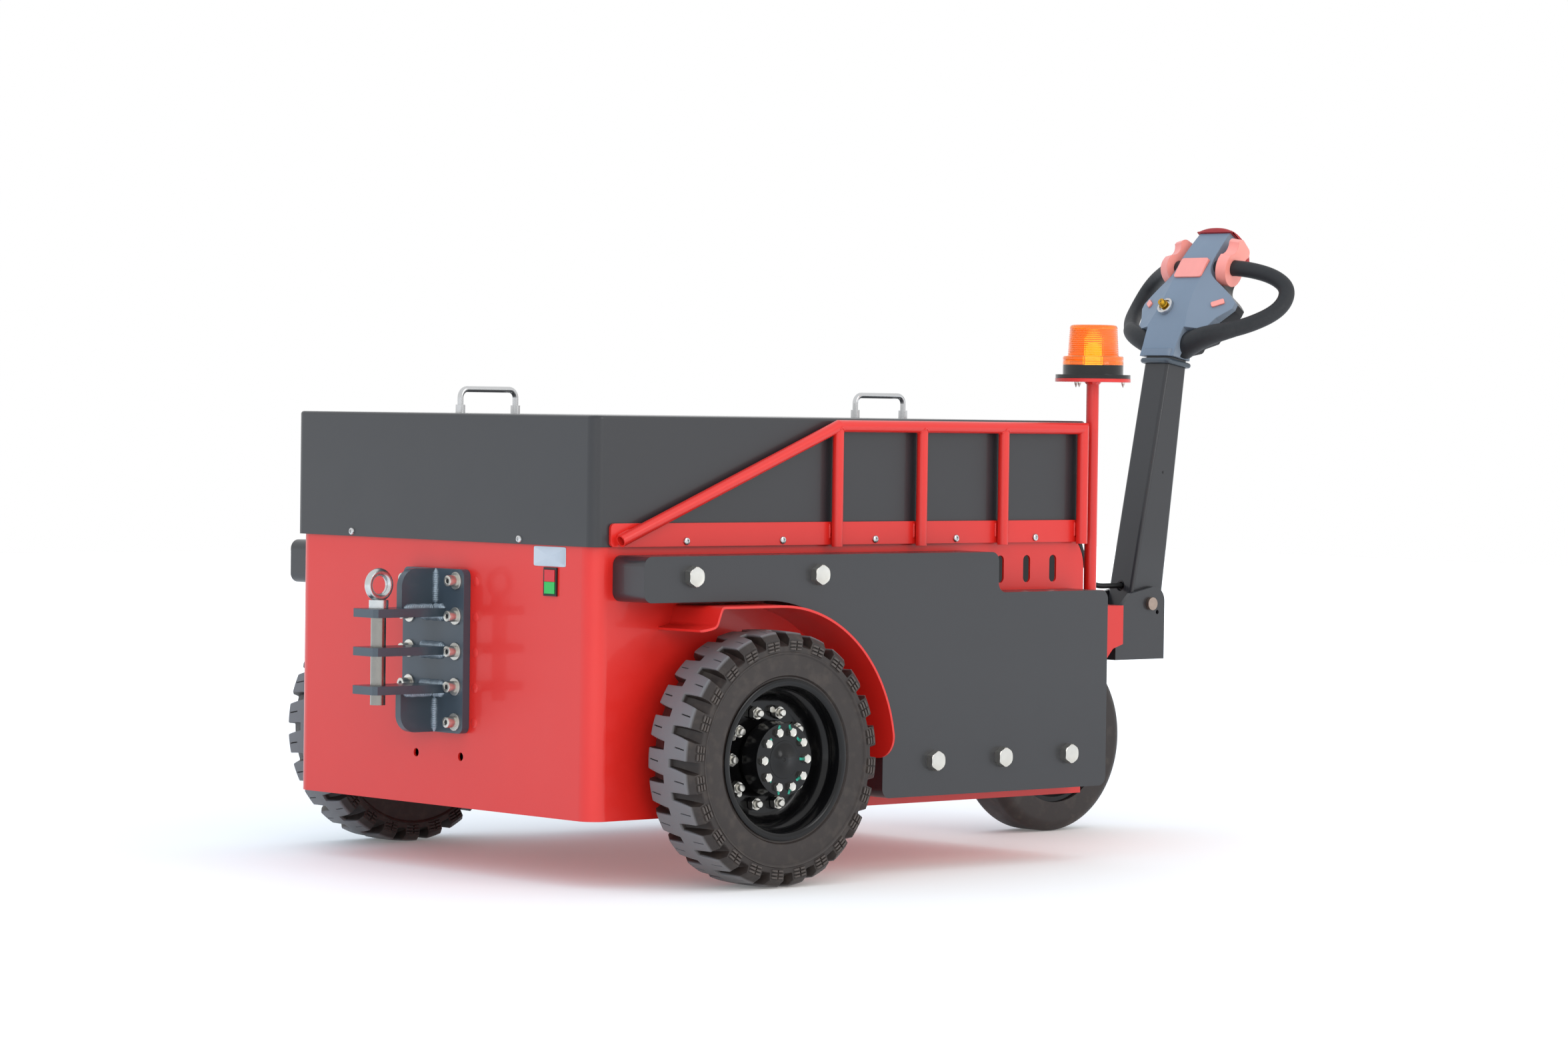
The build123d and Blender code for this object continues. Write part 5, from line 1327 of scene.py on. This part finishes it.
@dataclass
class TillerHead:
    """Key switch, belly pad and collar bead of the tiller head and arm, and black discs of painted shade in
    the arm's small holes.
    """

    origin: tuple[float, float] = (1707.75, 899.25)
    up: tuple[float, float, float] = (0.56497, 0.0, 0.82511)
    out: tuple[float, float, float] = (-0.82511, 0.0, 0.56497)
    key_side: float = 18.0
    key_up: float = 81.0
    key_out: float = 15.5
    slit: tuple[float, float] = (0.7, 3.0)
    arm_lean: float = 9.6
    arm_half: float = 31.0
    collar_up: float = 459.0
    collar_deep: float = 60.0
    collar_wide: float = 70.0
    collar_corner: float = 8.0
    crown: float = 8.0
    crown_power: float = 2.4
    crown_fade: float = 0.08
    thin: float = 3.0
    guard_half: float = 45.0
    guard: tuple[tuple[float, float], ...] = ((264.6, 8.4), (268.6, 8.0), (271.4, -4.0), (272.2, -20.0),
                                              (270.6, -37.0), (265.0, -52.0), (254.0, -64.0), (241.0, -73.4),
                                              (237.6, -74.6))
    seat: tuple[tuple[float, float], ...] = ((232.4, -62.6), (263.2, -38.6), (263.2, 8.0))
    bead: float = 5.0
    hole_shade_up: float = 250.0

    def build(self) -> None:
        """Makes the polished ring, the brass barrel and the keyway as a black slit of painted shade, then the
        belly pad and the collar.
        """
        foot = Vector((rear_face() + self.origin[0], self.key_side, self.origin[1]))
        base = foot + Vector(self.up) * self.key_up
        spot = [place_at(tuple(base + Vector(self.out) * self.key_out), self.out)]
        bezel = revolved([(17, -1), (17, 5), (16.4, 7.2), (14.6, 8.4), (12.6, 8.2), (11.6, 7), (11, 4),
                          (7, 3.8)])
        Surface().add_copies(bezel, spot).piece("key_ring", STAINLESS, "tiller", ("key_switch",))
        barrel = revolved([(8.2, 2), (8.2, 10), (7.2, 11), (6.8, 19), (6, 20.6), (5.2, 20.9), (4.8, 20.4),
                           (0.4, 20.4)], 40)
        Surface().add_copies(barrel, spot).piece("key_barrel", BRASS, "tiller")
        # Black slit on the barrel's face: painted shade in the keyway
        wide, tall = self.slit
        slit = np.array([[(side * wide, level, lift) for side in (-1, 1)]
                         for level, lift in ((-tall, 20.2), (-tall, 20.6), (tall, 20.6), (tall, 20.2))]) * MM
        Surface().add_grid(moved(slit, spot[0]), around=False, closed=True).piece("keyway", BLACK, "tiller")
        self.belly()
        self.collar()

    def belly(self) -> None:
        """Makes the crowned belly pad and lets it stand for the CAD node.

        The section is a rounded guard over the crest, in the plane of the head's side. It is carried
        across the head and swells by the crown, which falls off with a power of the distance from the
        middle.
        """
        foot = np.array((rear_face() + self.origin[0], 0, self.origin[1]))
        rise, back, side = np.array(self.up), np.array(self.out), np.array((0, 1, 0))
        at = np.linspace(0, 1, 41)
        steps = np.linspace(0, 1, len(self.guard))
        soft = np.ones(7) / 7
        outer = np.stack([np.convolve(np.pad(np.interp(at, steps, row), 3, mode="edge"), soft, "valid")
                          for row in np.array(self.guard).T], 1)
        slope = np.gradient(outer, axis=0)
        normal = np.stack([-slope[:, 1], slope[:, 0]], 1) / np.linalg.norm(slope, axis=1)[:, None]
        across = np.sin(np.linspace(-1, 1, 31) * math.pi / 2)
        swell = self.crown * (1 - np.abs(across) ** self.crown_power) - self.thin
        swell[[0, -1]] -= self.thin
        fade = np.clip(np.minimum(at, 1 - at) / self.crown_fade, 0.25, 1)
        rows = []
        for share, grow in zip(across, swell):
            loop = np.vstack([outer + normal * (grow * fade)[:, None], self.seat])
            rows.append((foot + loop[:, :1] * rise + loop[:, 1:] * back
                         + share * self.guard_half * side) * MM)
        pad = Surface().add_grid(np.array(rows), caps=True)
        pad.piece("belly_guard", CRIMSON, "tiller", ("belly_pad",), sharp=50)

    def collar(self) -> None:
        """Makes the rolled bead at the foot of the head's collar, and a black disc of painted shade in the
        small hole on each side of the arm.
        """
        pivot = np.array(sum(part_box("pivot_bolt"), Vector()) / 2)
        lean = math.radians(self.arm_lean)
        along = np.array((math.sin(lean), 0, math.cos(lean)))
        deep = np.array((math.cos(lean), 0, -math.sin(lean)))
        turn = ring(40) + math.pi / 40
        waves = np.array((np.cos(turn), np.sin(turn)))
        flat = np.array((self.collar_deep, self.collar_wide))[:, None] / 2 - self.collar_corner
        corner = np.sign(waves) * flat + self.collar_corner * waves
        line = corner[0][:, None] * deep + corner[1][:, None] * np.array((0, 1, 0)) + self.collar_up * along
        bead = tube(pivot * np.array((1, 0, 1)) + line * MM, np.full(40, self.bead * MM), tuple(along), 12)
        # The bead takes the graphite coat painted bluer and lighter, a painted sky reflection
        Surface().add_grid(bead, closed=True).piece("collar_bead", PAINTED_SKY_GRAPHITE, "tiller", sharp=80)
        spot = pivot / MM + along * self.hole_shade_up
        # Black discs in the arm's small holes: painted shade
        plug = revolved([(2.6, -0.5), (2.6, 0.3), (2.1, 0.6), (0.3, 0.4)], 20)
        sides = [place_at((spot[0], side * self.arm_half, spot[2]), (0, side, 0)) for side in (-1, 1)]
        Surface().add_copies(plug, sides).piece("arm_hole_shade", BLACK, "tiller")


@dataclass
class Studio:
    """Camera at the photo's place, white floor and soft light."""

    camera_place: tuple[float, float, float] = (-4787.98, -6224.15, 770.49)
    yaw: float = 48.29
    pitch: float = -1.36
    roll: float = -0.76
    focal_share: float = 7111.36 / 2352
    sensor: float = 36.0
    floor_half: float = 14.0
    floor_steps: int = 9
    aim_level: float = 0.45
    cool_side: tuple[float, float, float] = (-0.665, 0.747, 0.0)
    cool_span: tuple[float, float] = (-0.5, 0.7)
    warm_room: tuple[float, float, float, float] = (0.62, 0.58, 0.58, 1.0)
    cool_room: tuple[float, float, float, float] = (0.34, 0.62, 0.92, 1.0)
    ceiling: tuple[float, float, float] = (0.95, 1.0, 1.08)

    def camera(self) -> None:
        """Places the camera found from the photo's edges."""
        yaw, pitch, roll = (math.radians(a) for a in (self.yaw, self.pitch, self.roll))
        ahead = Vector((math.cos(yaw) * math.cos(pitch), math.sin(yaw) * math.cos(pitch), math.sin(pitch)))
        level = Vector((math.sin(yaw), -math.cos(yaw), 0))
        down = ahead.cross(level)
        right = level * math.cos(roll) + down * math.sin(roll)
        below = down * math.cos(roll) - level * math.sin(roll)
        data = bpy.data.cameras.new("photo_camera")
        data.sensor_width = self.sensor
        data.lens = self.focal_share * self.sensor
        data.clip_end = 100
        made = bpy.data.objects.new("photo_camera", data)
        place = Vector(self.camera_place) * MM + Vector((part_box("body_shell")[0].x, 0, 0))
        turn = Matrix((right, -below, -ahead)).transposed().to_4x4()
        made.matrix_world = Matrix.Translation(place) @ turn
        bpy.context.scene.collection.objects.link(made)
        bpy.context.scene.camera = made

    def floor(self) -> None:
        """Makes the pale floor, which brightens to white away from the part."""
        across, along = np.meshgrid(*[np.linspace(-self.floor_half, self.floor_half, self.floor_steps)] * 2)
        flat = np.stack([across, along, 0 * across], axis=-1)
        surface = Surface().add_grid(flat, around=False)
        mesh = bpy.data.meshes.new("floor")
        mesh.from_pydata(np.vstack(surface.points), [], surface.faces)
        made = bpy.data.objects.new("floor", mesh)
        mesh.materials.append(Sweep("studio_floor", "E6E3DE", "floor", 0.7, mottle=0.01,
                                    mottle_mm=400).material())
        bpy.context.scene.collection.objects.link(made)

    def world(self) -> None:
        """Lights the room softly and shows it white to the camera, and in metal and glass."""
        world = bpy.data.worlds.new("studio")
        bpy.context.scene.world = world
        world.use_nodes = True
        tree = world.node_tree
        tree.nodes.clear()
        path = add_node(tree, "ShaderNodeLightPath")
        aim = add_node(tree, "ShaderNodeTexCoord").outputs["Generated"]
        across = add_node(tree, "ShaderNodeVectorMath", {0: aim, 1: self.cool_side}, operation="DOT_PRODUCT")
        share = add_node(tree, "ShaderNodeMapRange", {"Value": across.outputs["Value"],
                                                      "From Min": self.cool_span[0],
                                                      "From Max": self.cool_span[1]})
        hue = add_node(tree, "ShaderNodeMix", {"Factor": share.outputs[0], "A": self.warm_room,
                                               "B": self.cool_room}, data_type="RGBA")
        rise = add_node(tree, "ShaderNodeSeparateXYZ", {0: aim})
        lift = add_node(tree, "ShaderNodeMapRange", {"Value": rise.outputs[2]})
        sky = add_node(tree, "ShaderNodeVectorMath", {0: lift.outputs[0], 1: self.ceiling, 2: hue.outputs[2]},
                       operation="MULTIPLY_ADD")
        room = add_node(tree, "ShaderNodeBackground", {"Color": sky.outputs[0], "Strength": 1.0})
        seen = add_node(tree, "ShaderNodeBackground", {"Color": (1, 1, 1, 1), "Strength": 1.0})
        shown = path.outputs["Is Camera Ray"]
        for kind in ("Is Glossy Ray", "Is Transmission Ray"):
            shown = add_node(tree, "ShaderNodeMath", {0: shown, 1: path.outputs[kind]},
                             operation="MAXIMUM").outputs[0]
        mix = add_node(tree, "ShaderNodeMixShader", {0: shown, 1: room.outputs[0], 2: seen.outputs[0]})
        out = add_node(tree, "ShaderNodeOutputWorld")
        tree.links.new(mix.outputs[0], out.inputs["Surface"])

    def light(self, name: str, place: tuple[float, float, float], size: tuple[float, float], power: float,
              colour: str, mirrored: bool) -> None:
        """Adds one soft box aimed at the part.

        Args:
            name: Object name.
            place: Place in metres.
            size: Width and height in metres.
            power: Power in watts.
            colour: Colour as six hexadecimal digits.
            mirrored: Show the box in glossy surfaces, where it doesn't make a panel flare.
        """
        data = bpy.data.lights.new(name, "AREA")
        data.shape = "RECTANGLE"
        data.size, data.size_y = size
        data.energy = power
        data.color = linear(colour)[:3]
        made = bpy.data.objects.new(name, data)
        aim = Vector((0, 0, self.aim_level)) - Vector(place)
        made.matrix_world = Matrix.Translation(place) @ aim.to_track_quat("-Z", "Y").to_matrix().to_4x4()
        made.visible_glossy = mirrored
        bpy.context.scene.collection.objects.link(made)

    def build(self) -> None:
        """Sets up the camera, the floor and the lights."""
        self.camera()
        self.floor()
        self.world()
        self.light("key_box", (-4.4, -4.8, 1.9), (4.8, 3.2), 125, "FFF6EC", False)
        self.light("side_box", (1.2, -5.4, 2.6), (1.6, 2.6), 40, "FFFFFF", True)
        bpy.context.scene.view_settings.view_transform = "Standard"


def dress_nodes(frame: dict) -> None:
    """Gives each carried-over CAD node its finish.
    """
    finishes = {node: finish for finish, nodes in FINISHED_NODES.items() for node in nodes.split()}
    finishes["beacon_lens"] = Beacon.lens_finish()
    for name, obj in frame["nodes"].items():
        finish = finishes[name]
        obj.data.materials.clear()
        obj.data.materials.append(finish.material())
        log.info("%s: CAD node in %s", name, finish.name)


def build_scene() -> None:
    """Loads the frame, dresses it and builds the pieces and the studio."""
    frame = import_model()
    dress_nodes(frame)
    for side in Side:
        LugTyre(side).build()
        WheelFittings(side).build()
        Ballast(side).build()
        Rail(side).build()
    for assembly in (Hitch(), BodyTrim(), Beacon(), ControlCable(), TillerHead(), Studio()):
        assembly.build()


if __name__ == "__main__":
    logging.basicConfig(level=logging.INFO, format="%(name)s %(message)s")
    build_scene()
